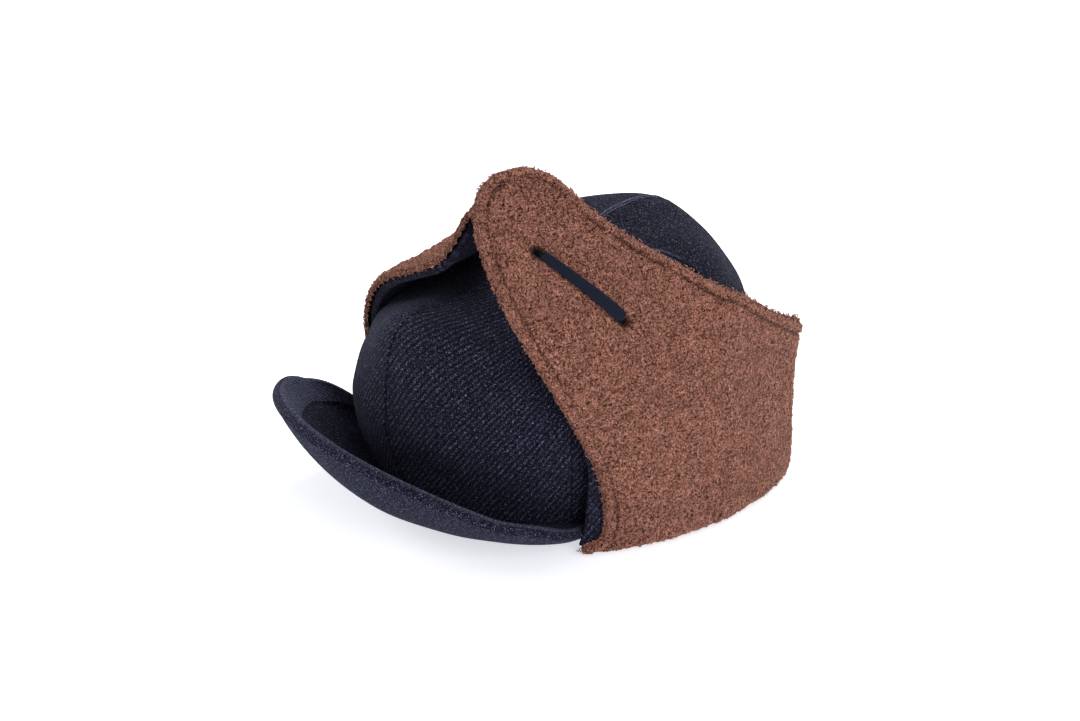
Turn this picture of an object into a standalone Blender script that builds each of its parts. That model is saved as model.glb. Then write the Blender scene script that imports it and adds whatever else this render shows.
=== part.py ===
"""Trapper hat: a six-panel wool crown, a turned-up wool visor, and a fleece-lined ear band.

The hat faces -Y, the wearer's left is +X, and it stands on z = 0 on the fold of its ear band.
The band is sewn to the crown's lower edge and is folded up outside the crown, fleece outwards.
It folds down in six zones, each about its own chord of the fold line, and the two ear tongues
straighten as they come down. Units are metres.
"""
import math

import bmesh
import bpy
import numpy as np
from mathutils import Matrix, Vector

GAP = 0.0003

# The head oval's centre stands this far behind the middle of the hat's whole length
HEAD_CENTRE = Vector((0.0, 0.012765, 0.0))

# Crown
CROWN_HALF_LENGTH = 0.0995
CROWN_HALF_WIDTH = 0.0845
CROWN_BASE_Z = 0.0095
CROWN_FRONT_Z = 0.1035
CROWN_BACK_Z = 0.1205
CROWN_PANELS = 6
CROWN_BASE_PINCH = 0.13
PINCH_HEIGHT = 0.042
PANEL_THICKNESS = 0.0022
LINING_THICKNESS = 0.0010
LINING_CLEARANCE = 0.0006
SWEATBAND_THICKNESS = 0.0014
TOP_HOLE_ANGLE = 87.0

# Top button
BUTTON_RADIUS = 0.0085
BUTTON_HEIGHT = 0.0045
BUTTON_BACK_RADIUS = 0.0065
BUTTON_BACK_THICKNESS = 0.0012
BUTTON_SHANK_RADIUS = 0.0028
BUTTON_SKIRT = 0.0004

# Ear band: fleece outside, wool against the crown
BAND_HALF_LENGTH = 0.112
BAND_HALF_WIDTH = 0.095
WOOL = 0.0025
FLEECE = 0.0055
BAND_THICKNESS = WOOL + GAP + FLEECE
BAND_MID = BAND_THICKNESS / 2
FOLD_Z = 0.0043
WOOL_BOTTOM_Z = 0.0008
CORNER_HEIGHT = 0.069
BACK_HEIGHT = 0.060
EAR_REAR_Y = 0.044
EAR_REAR_HEIGHT = 0.104
CORNER_ANGLE = 148.0
TANGENT_Y = -0.049
BORDER_SLACK = 0.0006
BORDER_HALF_ANGLE = math.radians(19)

# The flat pattern of one ear: (y, height) down its front edge and down its rear edge.
# The wall part stands below the bend, and the tongue is the part above it.
WALL_FRONT = [(-0.046, 0.0), (-0.042, 0.016), (-0.045, 0.038), (-0.051, 0.055), (-0.058, 0.071)]
WALL_REAR = [(EAR_REAR_Y, EAR_REAR_HEIGHT * k / 4) for k in range(5)]
TONGUE_FRONT = [
    (-0.058, 0.071), (-0.065, 0.089), (-0.071, 0.108), (-0.0745, 0.129),
    (-0.075, 0.149), (-0.0735, 0.166), (-0.069, 0.178), (-0.060, 0.1855),
]
TONGUE_REAR = [
    (EAR_REAR_Y, EAR_REAR_HEIGHT), (0.027, 0.118), (0.009, 0.134), (-0.006, 0.1485),
    (-0.018, 0.1625), (-0.0255, 0.174), (-0.033, 0.1825), (-0.043, 0.1870),
]

# How each ear leans in over the crown: the first bend's turn, start height and length,
# then a second bend's start, final turn and length, and how far the tongue straightens.
LEAN = {
    "left": dict(turn=34, start=0.043, length=0.080, again=0.150, final=30, length2=0.020, open=28),
    "right": dict(turn=64, start=0.036, length=0.089, again=0.121, final=-9, length2=0.034, open=50),
}
LEAN_SLOPE = math.radians(7)
LEAN_REACH = 0.24
LEAN_STEPS = 480

# Elastic loop threaded through two holes in each tongue, as (y, height) on the flat pattern
ELASTIC_TOP = {"left": (-0.050, 0.149), "right": (-0.032, 0.158)}
ELASTIC_BOTTOM = {"left": (-0.024, 0.112), "right": (-0.001, 0.125)}
ELASTIC_WIDTH = 0.0040
ELASTIC_THICKNESS = 0.0012
ELASTIC_HOLE = 0.0056
TACK_LENGTH = 0.008
TACK_WIDTH = 0.006
TACK_THICKNESS = 0.0010
TACK_STANDOFF = 0.0012

# Visor
VISOR_HALF_ANGLE = 64.0
VISOR_WIDTH = 0.050
VISOR_SPREAD = math.radians(38)
VISOR_ROOT_Z = 0.0058
VISOR_COVER = 0.0018
VISOR_BOARD = 0.0012
VISOR_END = 0.985


def smooth(low, high, x):
    """0 below low, 1 above high, with an even slope at both ends."""
    t = min(max((x - low) / (high - low), 0.0), 1.0)
    return t * t * (3 - 2 * t)


def curve_through(points, s):
    """The point at s, from 0 to 1, on a smooth curve through evenly numbered points."""
    last = len(points) - 1
    k = min(int(s * last), last - 1)
    f = s * last - k
    p1, p2 = Vector(points[k]), Vector(points[k + 1])
    p0 = Vector(points[k - 1]) if k else 2 * p1 - p2
    p3 = Vector(points[k + 2]) if k + 2 <= last else 2 * p2 - p1
    return (p1 * 2 + (p2 - p0) * f + (2 * p0 - 5 * p1 + 4 * p2 - p3) * f ** 2
            + (3 * p1 - p0 - 3 * p2 + p3) * f ** 3) / 2


def normal_of(surface, a, b, step_a, step_b):
    """The unit normal of surface(a, b), by small steps along both of its parameters."""
    along_a = surface(a + step_a, b) - surface(a - step_a, b)
    along_b = surface(a, b + step_b) - surface(a, b - step_b)
    return along_a.cross(along_b).normalized()


# ---------------------------------------------------------------- crown

def crown_top(y):
    """Height of the crown's top above the table, low at the front and high at the back."""
    rise = (CROWN_BACK_Z - CROWN_FRONT_Z) * smooth(-0.070, 0.050, y)
    return CROWN_FRONT_Z + rise + 0.0055 * math.exp(-((y - 0.058) / 0.025) ** 2)


def crown_corner(t):
    """How square the crown's profile is: crisp at the centre front, soft at the back."""
    back = (0.5 - 0.5 * math.cos(t)) ** 2
    turned = math.degrees(math.remainder(t, 2 * math.pi))
    return 3.5 - 0.4 * back + 4.2 * math.exp(-(turned / 20) ** 2)


def crown_ridge(t, y, rise):
    """How far the crown's back stands up, most of all along its centre seam."""
    from_back = 180 - abs(math.degrees(math.remainder(t, 2 * math.pi)))
    height = 0.0026 * smooth(0.005, 0.045, y) + 0.0026 * math.exp(-(from_back / 24) ** 2)
    return height * smooth(30, 55, rise) * (1 - smooth(77, 88, rise))


def crown_point(t, rise):
    """The crown's outer face: t turns from the front towards the left, rise is 0 to 90 degrees."""
    angle = math.radians(rise)
    power = crown_corner(t)
    reach = (math.cos(angle) ** power + math.sin(angle) ** power) ** (-1 / power)
    out, up = reach * math.cos(angle), reach * math.sin(angle)
    x = CROWN_HALF_WIDTH * out * math.sin(t)
    y = -CROWN_HALF_LENGTH * out * math.cos(t)
    z = CROWN_BASE_Z + (crown_top(y) - CROWN_BASE_Z) * up
    pinch = max(0.0, 1 - (z - CROWN_BASE_Z) / PINCH_HEIGHT) ** 1.5
    scale = 1 - CROWN_BASE_PINCH * pinch * (0.5 + 0.5 * math.cos(t))
    pressed = 0.009 * math.exp(-((x + 0.042) / 0.032) ** 2 - ((y + 0.015) / 0.052) ** 2) * up
    return Vector((x * scale, y * scale, z - pressed + crown_ridge(t, y, rise)))


def crown_inside(t, rise, depth):
    """A point that lies depth below the crown's outer face."""
    t_step, rise_step = 0.01, 1.0
    safe = min(max(rise, rise_step), TOP_HOLE_ANGLE)
    normal = normal_of(crown_point, t, safe, t_step, rise_step)
    if rise <= rise_step:
        normal = Vector((normal.x, normal.y, 0)).normalized()
    return crown_point(t, rise) - normal * depth


# ---------------------------------------------------------------- ear band

MID_HALF_LENGTH = BAND_HALF_LENGTH - BAND_MID
MID_HALF_WIDTH = BAND_HALF_WIDTH - BAND_MID


def band_x(y):
    """Half width of the band's middle surface at y. It runs on straight in front of TANGENT_Y."""
    if y >= TANGENT_Y:
        return MID_HALF_WIDTH * math.sqrt(max(1 - (y / MID_HALF_LENGTH) ** 2, 0.0))
    edge = MID_HALF_WIDTH * math.sqrt(1 - (TANGENT_Y / MID_HALF_LENGTH) ** 2)
    slope = -0.8 * (MID_HALF_WIDTH / MID_HALF_LENGTH) ** 2 * TANGENT_Y / edge
    return edge + slope * (y - TANGENT_Y)


def lean_table(side):
    """Distance in and distance up, against length along the cloth, for one ear's lean."""
    lean = LEAN[side]
    along = np.linspace(0, LEAN_REACH, LEAN_STEPS + 1)
    turn = math.radians(lean["turn"]) * np.clip(along / lean["length"], 0, 1)
    change = math.radians(lean["final"] - lean["turn"])
    turn += change * np.clip((along - lean["again"]) / lean["length2"], 0, 1)
    step = LEAN_REACH / LEAN_STEPS
    middle = (turn[1:] + turn[:-1]) / 2
    inward = np.concatenate(([0.0], np.cumsum(np.sin(middle)) * step))
    upward = np.concatenate(([0.0], np.cumsum(np.cos(middle)) * step))
    return along, inward, upward


LEAN_TABLES = {side: lean_table(side) for side in LEAN}


def ear_point(side, y, height):
    """The ear's middle surface at a point of its flat pattern."""
    start = LEAN[side]["start"] + 0.12 * (y + 0.060) + 15 * max(y + 0.010, 0.0) ** 2
    length = min(max((height - start) * math.cos(LEAN_SLOPE), 0.0), LEAN_REACH)
    along, inward, upward = LEAN_TABLES[side]
    lost = length - np.interp(length, along, upward)
    x = band_x(y) - np.interp(length, along, inward)
    mirror = 1 if side == "left" else -1
    return Vector((mirror * x, y + lost * math.sin(LEAN_SLOPE), height - lost * math.cos(LEAN_SLOPE)))


def ear_offset(side, y, height, out):
    """A point of the ear that lies out from its middle surface, towards the fleece."""
    mirror = 1 if side == "left" else -1

    def surface(a, b):
        return ear_point(side, a, b)

    return ear_point(side, y, height) + mirror * normal_of(surface, y, height, 0.001, 0.001) * out


def band_point(side, t, height, out):
    """A point of the band's corner or back zone, whose wall stands straight up."""
    mirror = 1 if side == "left" else -1
    x, y = MID_HALF_WIDTH * math.sin(t), -MID_HALF_LENGTH * math.cos(t)
    normal = Vector((x / MID_HALF_WIDTH ** 2, y / MID_HALF_LENGTH ** 2, 0)).normalized()
    return Vector((mirror * (x + normal.x * out), y + normal.y * out, height))


def border_cut(out, height):
    """How far a zone's end is cut back, so that neighbours clear each other as the band turns."""
    below = min(height - FOLD_Z, 0.0)
    swing = math.hypot(out, below)
    mitre = out * math.sin(BORDER_HALF_ANGLE) + swing * math.tan(BORDER_HALF_ANGLE)
    return GAP / 2 + BORDER_SLACK + max(mitre, 0.0)


# ---------------------------------------------------------------- visor

def visor_point(s, w):
    """The visor's middle surface: s runs from -1 at its right end to 1, w from its root to its rim."""
    t = math.radians(VISOR_HALF_ANGLE) * s
    root = crown_point(t, 0.0)
    taper = math.sqrt(max(1 - abs(s) ** 10, 0.0))
    width = VISOR_WIDTH * (1 - 0.2 * s * s) * taper
    heading = VISOR_SPREAD * math.sin(math.pi / 2 * s)
    turn = math.radians(85) * s
    rim_z = 0.0173 + 0.0321 * math.cos(turn) - 0.0091 * math.sin(turn)
    rim_z += 0.004 * smooth(0.5, 0.8, -s) + 0.006 * smooth(0.8, 0.97, -s) + 0.0045 * smooth(0.66, 0.90, s)
    lift = (rim_z - VISOR_ROOT_Z) * taper
    inset = 0.0016
    x = root.x + (w * width - inset) * math.sin(heading)
    y = root.y - (w * width - inset) * math.cos(heading)
    return Vector((x, y, VISOR_ROOT_Z + lift * (0.33 * w + 0.67 * w ** 3)))


def visor_offset(s, w, up):
    """A point of the visor that lies above its middle surface, or below it."""
    safe = min(max(s, -0.97), 0.97)
    inner = min(max(w, 0.02), 1.0)
    return visor_point(s, w) + normal_of(visor_point, safe, inner, 0.01, 0.01) * up


# ---------------------------------------------------------------- solids

def new_object(name, mesh_data, material):
    obj = bpy.data.objects.new(name, mesh_data)
    mesh_data.materials.append(material)
    bpy.context.scene.collection.objects.link(obj)
    return obj


def finish_mesh(name, bm, material, pivot=Vector()):
    """Turns a bmesh into a named object, with its faces pointing out and its origin at pivot."""
    bmesh.ops.recalc_face_normals(bm, faces=bm.faces)
    bmesh.ops.translate(bm, verts=bm.verts, vec=-pivot)
    mesh_data = bpy.data.meshes.new(name)
    bm.to_mesh(mesh_data)
    bm.free()
    mesh_data.shade_smooth()
    mesh_data.set_sharp_from_angle(angle=math.radians(40))
    obj = new_object(name, mesh_data, material)
    obj.location = HEAD_CENTRE + pivot
    return obj


def add_slab(bm, outer, inner, ring=False):
    """A closed solid between two equal grids of points. A ring joins its last column to its first."""
    columns, rows = len(outer), len(outer[0])
    faces = [[[bm.verts.new(p) for p in column] for column in grid] for grid in (outer, inner)]
    spans = range(columns if ring else columns - 1)
    for verts in faces:
        for i in spans:
            a, b = verts[i], verts[(i + 1) % columns]
            for j in range(rows - 1):
                bm.faces.new((a[j], b[j], b[j + 1], a[j + 1]))
    front, back = faces
    for i in spans:
        k = (i + 1) % columns
        for j in (0, rows - 1):
            bm.faces.new((front[i][j], front[k][j], back[k][j], back[i][j]))
    if not ring:
        for i in (0, columns - 1):
            for j in range(rows - 1):
                bm.faces.new((front[i][j], front[i][j + 1], back[i][j + 1], back[i][j]))


def slab(name, point, columns, rows, depths, material, ring=False, pivot=Vector()):
    """A sheet of cloth as a solid: point(column, row, depth) at two depths."""
    grids = [[[point(c, r, depth) for r in rows] for c in columns] for depth in depths]
    bm = bmesh.new()
    add_slab(bm, grids[0], grids[1], ring)
    return finish_mesh(name, bm, material, pivot)


def turned(name, profile, material, sides=20):
    """A closed solid of revolution about the crown's centre line: profile is (radius, height) pairs."""
    bm = bmesh.new()
    rings = [
        [bm.verts.new((r * math.cos(a), r * math.sin(a), z))
         for a in (2 * math.pi * k / sides for k in range(sides))]
        for r, z in profile
    ]
    for low, high in zip(rings, rings[1:]):
        for k in range(sides):
            n = (k + 1) % sides
            bm.faces.new((low[k], low[n], high[n], high[k]))
    bm.faces.new(rings[0])
    bm.faces.new(rings[-1])
    return finish_mesh(name, bm, material)


def material(name, colour, roughness, metallic=0.0):
    made = bpy.data.materials.new(name)
    made.use_nodes = True
    shader = made.node_tree.nodes["Principled BSDF"]
    shader.inputs["Base Color"].default_value = (*colour, 1.0)
    shader.inputs["Roughness"].default_value = roughness
    shader.inputs["Metallic"].default_value = metallic
    made.diffuse_color = (*colour, 1.0)
    return made


# ---------------------------------------------------------------- sub-assemblies

def build_crown(cloth, lining_cloth, leather):
    """Six gores, the lining, the sweatband, and the covered button that hides the gores' tips."""
    rows = (0, 7, 15, 24, 33, 41, 48, 56, 65, 76, TOP_HOLE_ANGLE)
    span = 2 * math.pi / CROWN_PANELS
    columns = [k / 5 for k in range(6)]
    names = ("left_front", "left_side", "left_back", "right_back", "right_side", "right_front")
    for k, place in enumerate(names):

        def panel_point(c, rise, depth, k=k):
            middle = crown_point((k + 0.5) * span, rise)
            radius = max(math.hypot(middle.x, middle.y), 0.004)
            margin = (GAP / 2 + 0.0001) / radius
            t = k * span + margin + c * (span - 2 * margin)
            return crown_inside(t, rise, depth)

        slab(f"crown_panel_{place}", panel_point, columns, rows, (0.0, PANEL_THICKNESS), cloth)

    turns = [2 * math.pi * k / 30 for k in range(30)]
    lining_top = PANEL_THICKNESS + LINING_CLEARANCE
    slab("crown_lining", crown_inside, turns, rows,
         (lining_top, lining_top + LINING_THICKNESS), lining_cloth, ring=True)
    band_top = lining_top + LINING_THICKNESS + LINING_CLEARANCE
    slab("sweatband", crown_inside, turns, (0, 5.5, 11, 16.5),
         (band_top, band_top + SWEATBAND_THICKNESS), leather, ring=True)


def build_button(cloth, metal):
    """The covered button on top, and the disc behind it that clenches it through the crown."""
    turns = range(7)
    rises = (83, 85, TOP_HOLE_ANGLE)
    depth = PANEL_THICKNESS + LINING_CLEARANCE + LINING_THICKNESS
    seat = max(crown_point(t, rise).z for t in turns for rise in rises) + BUTTON_SKIRT
    foot = min(crown_inside(t, rise, depth).z for t in turns for rise in rises) - GAP
    profile = [(BUTTON_SHANK_RADIUS, foot), (BUTTON_SHANK_RADIUS, seat), (BUTTON_RADIUS, seat)]
    for k in range(5):
        angle = math.pi / 2 * k / 5
        profile.append((BUTTON_RADIUS * math.cos(angle),
                        seat + BUTTON_SKIRT + BUTTON_HEIGHT * math.sin(angle)))
    profile.append((BUTTON_RADIUS / 14, seat + BUTTON_SKIRT + BUTTON_HEIGHT))
    turned("top_button", profile, cloth)
    back_top = foot - GAP
    back = [(BUTTON_BACK_RADIUS, back_top - BUTTON_BACK_THICKNESS), (BUTTON_BACK_RADIUS, back_top)]
    turned("top_button_back", back, metal)


def build_visor(cloth, board_stock):
    """Two wool covers with a flexible board between them, all rolled up towards the rim."""
    ends = [-1 + 2 * k / 18 for k in range(19)]
    spread = [math.sin(math.pi / 2 * e) * VISOR_END for e in ends]
    across = (0.0, 0.06, 0.25, 0.45, 0.65, 0.82, 0.93, 1.0)
    board_half = VISOR_BOARD / 2
    cover_low = board_half + GAP
    slab("visor_top_cover", visor_offset, spread, across,
         (cover_low, cover_low + VISOR_COVER), cloth)
    slab("visor_under_cover", visor_offset, spread, across,
         (-cover_low, -cover_low - VISOR_COVER), cloth)
    slab("visor_board", visor_offset, spread[2:-2], across[1:-1], (-board_half, board_half), board_stock)


LAYERS = {
    "wool": (-BAND_MID, -BAND_MID + WOOL),
    "fleece": (-BAND_MID + WOOL + GAP, BAND_MID),
}


def layer_bottom(layer):
    return WOOL_BOTTOM_Z if layer == "wool" else 0.0


def ear_pattern(front, rear, c, r):
    """A point of the flat pattern, c of the way from its front edge to its rear edge."""
    return curve_through(front, r).lerp(curve_through(rear, r), c)


def bend_pivot(side):
    """Two points of the line that the tongue bends about, at the fullest part of the ear."""
    front = ear_point(side, *TONGUE_FRONT[0])
    rear = ear_point(side, *TONGUE_REAR[0])
    line = (rear - front).normalized()
    mirror = 1 if side == "left" else -1
    out = mirror * line.cross(Vector((0, 0, 1))).normalized()
    bulge = 0.0
    for k in range(1, 12):
        y, height = ear_pattern(WALL_FRONT, WALL_REAR, k / 12, 1.0)
        bulge = max(bulge, abs((ear_point(side, y, height) - front).dot(out)))
    outward = Vector((mirror, 0, 0))
    return front + outward * bulge, rear + outward * bulge


def build_ear(side, materials):
    """One ear: its wall, and the tongue above the bend. Wool inside and fleece outside."""
    split = math.tan(math.radians(LEAN[side]["open"]) / 2)
    columns = [k / 7 for k in range(8)]
    pivot = bend_pivot(side)[0]
    fold = (ear_point(side, WALL_FRONT[0][0], FOLD_Z) + ear_point(side, EAR_REAR_Y, FOLD_Z)) / 2
    for layer, depths in LAYERS.items():

        def wall_point(c, r, out):
            y, height = ear_pattern(WALL_FRONT, WALL_REAR, c, r)
            bottom = layer_bottom(layer)
            top_cut = GAP / 2 + 0.0002 + max(out, 0.0) * split
            height = min(max(height, bottom), EAR_REAR_HEIGHT)
            if c == 1:
                y -= border_cut(out, height)
            if r == 1:
                height -= top_cut
            return ear_offset(side, y, height, out)

        def tongue_point(c, r, out):
            y, height = ear_pattern(TONGUE_FRONT, TONGUE_REAR, c, r)
            if r == 0:
                height += GAP / 2 + 0.0002 + max(out, 0.0) * split
            return ear_offset(side, y, height, out)

        wall_rows = [k / 6 for k in range(7)]
        tongue_rows = [k / 9 for k in range(10)]
        cloth = materials[layer]
        slab(f"{side}_ear_{layer}", wall_point, columns, wall_rows, depths, cloth, pivot=fold)
        slab(f"{side}_tongue_{layer}", tongue_point, columns, tongue_rows, depths, cloth, pivot=pivot)


def zone_height(t):
    """Height of the band's upper edge behind the ear: it falls to the corner, then to the back."""
    y = -BAND_HALF_LENGTH * math.cos(t)
    corner_y = -BAND_HALF_LENGTH * math.cos(math.radians(CORNER_ANGLE))
    if y < corner_y:
        share = (y - EAR_REAR_Y) / (corner_y - EAR_REAR_Y)
        return EAR_REAR_HEIGHT + (CORNER_HEIGHT - EAR_REAR_HEIGHT) * share
    return BACK_HEIGHT + (CORNER_HEIGHT - BACK_HEIGHT) * smooth(BAND_HALF_LENGTH, corner_y, y)


EAR_REAR_ANGLE = math.acos(-EAR_REAR_Y / MID_HALF_LENGTH)
ZONES = {
    "corner": (EAR_REAR_ANGLE, math.radians(CORNER_ANGLE)),
    "back": (math.radians(CORNER_ANGLE), math.pi),
}


def build_zone(side, zone, materials):
    """A plain zone of the band behind the ear."""
    first, last = ZONES[zone]
    middle = (band_point(side, first, FOLD_Z, 0) + band_point(side, last, FOLD_Z, 0)) / 2
    for layer, depths in LAYERS.items():

        def zone_point(c, r, out):
            t = first + (last - first) * c
            height = layer_bottom(layer) + r * (zone_height(t) - layer_bottom(layer))
            speed = math.hypot(MID_HALF_WIDTH * math.cos(t), MID_HALF_LENGTH * math.sin(t))
            if c in (0, 1):
                t += (1 - 2 * c) * border_cut(out, height) / speed
            return band_point(side, t, height, out)

        slab(f"{side}_{zone}_{layer}", zone_point, [k / 5 for k in range(6)],
             (0, 0.07, 0.4, 0.7, 1), depths, materials[layer], pivot=middle)


def frame_on_ear(side, y, height, towards):
    """Where a point of the outer face is, its outward normal, and the way to another point."""
    here = ear_offset(side, y, height, BAND_MID)
    normal = (ear_offset(side, y, height, BAND_MID + 0.001) - here).normalized()
    way = ear_offset(side, *towards, BAND_MID) - here
    way = (way - normal * way.dot(normal)).normalized()
    return here, normal, way


def cut_hole(side, spot, towards, cutter_material):
    """A slot through both layers of a tongue."""
    here, normal, way = frame_on_ear(side, *spot, towards)
    bm = bmesh.new()
    bmesh.ops.create_cube(bm, size=1.0)
    size = Matrix.Diagonal((ELASTIC_THICKNESS + 0.0014, ELASTIC_HOLE, 4 * BAND_THICKNESS, 1))
    turn = Matrix((way, normal.cross(way), normal)).transposed().to_4x4()
    bmesh.ops.transform(bm, matrix=Matrix.Translation(here) @ turn @ size, verts=bm.verts)
    cutter = finish_mesh(f"{side}_slot_cutter_{round(spot[1] * 1000)}", bm, cutter_material)
    cutter.hide_render = True
    cutter.display_type = "WIRE"
    for layer in LAYERS:
        cut = bpy.data.objects[f"{side}_tongue_{layer}"].modifiers.new("Slot", "BOOLEAN")
        cut.operation = "DIFFERENCE"
        cut.object = cutter


def build_elastic(side, elastic, thread, cutter_material):
    """The elastic strip on the fleece, whose ends pass through two slots to tacks on the wool."""
    top, bottom = ELASTIC_TOP[side], ELASTIC_BOTTOM[side]
    cut_hole(side, top, bottom, cutter_material)
    cut_hole(side, bottom, top, cutter_material)
    lift = GAP + ELASTIC_THICKNESS / 2
    path = []
    ends = []
    for spot, other in ((top, bottom), (bottom, top)):
        here, normal, way = frame_on_ear(side, *spot, other)
        inside = here - normal * (BAND_THICKNESS + TACK_STANDOFF - GAP)
        ends.append((here, normal, way))
        path.append([(inside, -way), (here - normal * 0.0006, -way),
                     (here + normal * (lift - 0.0002) + way * 0.0005, (normal - way).normalized()),
                     (here + normal * lift + way * 0.0016, normal)])
    middle = []
    for k in range(1, 6):
        spot = Vector(top).lerp(Vector(bottom), k / 6)
        here, normal, way = frame_on_ear(side, *spot, bottom)
        middle.append((here + normal * lift, normal))
    stations = path[0] + middle + path[1][::-1]
    across = ends[0][1].cross(ends[0][2]).normalized()
    half_width, half_thick = ELASTIC_WIDTH / 2, ELASTIC_THICKNESS / 2
    outer = [[p + n * half_thick - across * half_width, p + n * half_thick + across * half_width]
             for p, n in stations]
    inner = [[p - n * half_thick - across * half_width, p - n * half_thick + across * half_width]
             for p, n in stations]
    bm = bmesh.new()
    add_slab(bm, outer, inner)
    finish_mesh(f"{side}_elastic", bm, elastic, pivot=ends[0][0])
    for place, (here, normal, way) in zip(("top", "bottom"), ends):
        bm = bmesh.new()
        bmesh.ops.create_cube(bm, size=1.0)
        size = Matrix.Diagonal((TACK_LENGTH, TACK_WIDTH, TACK_THICKNESS, 1))
        turn = Matrix((way, normal.cross(way), normal)).transposed().to_4x4()
        seat = here - normal * (BAND_THICKNESS + TACK_STANDOFF + TACK_THICKNESS / 2)
        bmesh.ops.transform(bm, matrix=Matrix.Translation(seat) @ turn @ size, verts=bm.verts)
        finish_mesh(f"{side}_elastic_tack_{place}", bm, thread)


def main():
    for obj in list(bpy.data.objects):
        bpy.data.objects.remove(obj, do_unlink=True)
    navy = material("navy_wool", (0.020, 0.024, 0.040), 0.95)
    lining_cloth = material("lining_cloth", (0.030, 0.032, 0.045), 0.6)
    leather = material("sweatband_cloth", (0.018, 0.020, 0.030), 0.8)
    visor_board = material("visor_board", (0.55, 0.52, 0.46), 0.5)
    steel = material("button_steel", (0.55, 0.55, 0.57), 0.35, 1.0)
    elastic = material("elastic_cloth", (0.015, 0.025, 0.045), 0.8)
    thread = material("tack_thread", (0.020, 0.022, 0.035), 0.8)
    fleece = material("brown_fleece", (0.245, 0.105, 0.062), 1.0)
    layers = {"wool": navy, "fleece": fleece}

    build_crown(navy, lining_cloth, leather)
    build_button(navy, steel)
    build_visor(navy, visor_board)
    for side in LEAN:
        build_ear(side, layers)
        for zone in ZONES:
            build_zone(side, zone, layers)
        build_elastic(side, elastic, thread, steel)


main()
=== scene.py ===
"""The looks of the trapper hat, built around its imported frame. Lengths are in metres.

The shape functions are those of the hat's design, over whole arrays of points. They work about
the head oval's centre, and make_piece moves every mesh into the row's frame.

On the crown, t turns from the front towards the left, and rise climbs from 0 to 90 degrees. On
the band's flat pattern, s runs back along the fold, and height stands up from it.
"""

import math

import bpy
import numpy as np
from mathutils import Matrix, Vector


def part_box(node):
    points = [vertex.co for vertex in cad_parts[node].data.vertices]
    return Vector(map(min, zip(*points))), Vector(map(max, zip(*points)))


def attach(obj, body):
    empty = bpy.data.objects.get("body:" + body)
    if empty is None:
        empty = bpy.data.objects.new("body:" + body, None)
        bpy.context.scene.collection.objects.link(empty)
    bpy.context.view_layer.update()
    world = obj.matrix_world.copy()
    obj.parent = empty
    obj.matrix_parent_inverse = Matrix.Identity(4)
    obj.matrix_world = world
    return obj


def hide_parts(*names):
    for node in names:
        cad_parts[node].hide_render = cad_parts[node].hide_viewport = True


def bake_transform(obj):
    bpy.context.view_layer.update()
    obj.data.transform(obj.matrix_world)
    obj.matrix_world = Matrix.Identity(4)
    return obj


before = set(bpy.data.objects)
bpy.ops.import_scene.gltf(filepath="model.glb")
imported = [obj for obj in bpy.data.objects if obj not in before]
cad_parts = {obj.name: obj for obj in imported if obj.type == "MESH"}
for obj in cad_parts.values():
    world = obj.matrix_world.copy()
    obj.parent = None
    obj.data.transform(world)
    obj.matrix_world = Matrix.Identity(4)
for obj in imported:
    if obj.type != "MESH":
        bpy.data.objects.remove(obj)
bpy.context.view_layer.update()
MM = 0.001
MIRROR = {"left": 1, "right": -1}
DOWN = np.array((0.0, 0.0, -1.0))
WORD = 0xFFFFFFFF

# ---- sizes that the design sets

HEAD_CENTRE = np.array((0.0, 0.012765, 0.0))
CROWN_HALF_LENGTH = 0.0995
CROWN_HALF_WIDTH = 0.0845
CROWN_BASE_Z = 0.0095
CROWN_FRONT_Z = 0.1035
CROWN_BACK_Z = 0.1205
CROWN_BASE_PINCH = 0.13
PINCH_HEIGHT = 0.042
TOP_HOLE_ANGLE = 87.0
PANELS = 6
GORE_TURN = 2 * math.pi / PANELS
BAND_HALF_LENGTH = 0.112
BAND_MID = 0.00415
MID_HALF_LENGTH = BAND_HALF_LENGTH - BAND_MID
MID_HALF_WIDTH = 0.095 - BAND_MID
FOLD_Z = 0.0043
CORNER_HEIGHT = 0.069
BACK_HEIGHT = 0.060
EAR_REAR_Y = 0.044
EAR_REAR_HEIGHT = 0.104
CORNER_ANGLE = math.radians(148)
TANGENT_Y = -0.049
WALL_FRONT = [(-0.046, 0.0), (-0.042, 0.016), (-0.045, 0.038), (-0.051, 0.055), (-0.058, 0.071)]
WALL_REAR = [(EAR_REAR_Y, EAR_REAR_HEIGHT * k / 4) for k in range(5)]
TONGUE_FRONT = [
    (-0.058, 0.071), (-0.065, 0.089), (-0.071, 0.108), (-0.0745, 0.129),
    (-0.075, 0.149), (-0.0735, 0.166), (-0.069, 0.178), (-0.060, 0.1855),
]
TONGUE_REAR = [
    (EAR_REAR_Y, EAR_REAR_HEIGHT), (0.027, 0.118), (0.009, 0.134), (-0.006, 0.1485),
    (-0.018, 0.1625), (-0.0255, 0.174), (-0.033, 0.1825), (-0.043, 0.1870),
]
# Each ear leans in by turn degrees over length, from the height start. From again along the cloth
# it turns on to final degrees over length2. The far one also sinks, and its tip curls up.
LEAN = {
    "left": dict(turn=34, start=0.043, length=0.080, again=0.150, final=30, length2=0.020,
                 sink=0.0, curl=0.0),
    "right": dict(turn=64, start=0.036, length=0.089, again=0.121, final=-9, length2=0.034,
                  sink=0.0050, curl=0.0095),
}
LEAN_SLOPE = math.radians(7)
LEAN_REACH = 0.24
ELASTIC = {
    "left": (np.array((-0.0503, 0.1446)), np.array((-0.0230, 0.1080))),
    "right": (np.array((-0.032, 0.158)), np.array((-0.001, 0.125))),
}
VISOR_HALF_ANGLE = math.radians(66)
VISOR_WIDTH = 0.050
RIM_BORDER = 7.8 * MM
RIM_SEAM = math.radians(28)
VISOR_SPREAD = math.radians(38)
VISOR_ROOT_Z = 0.0066

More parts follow.
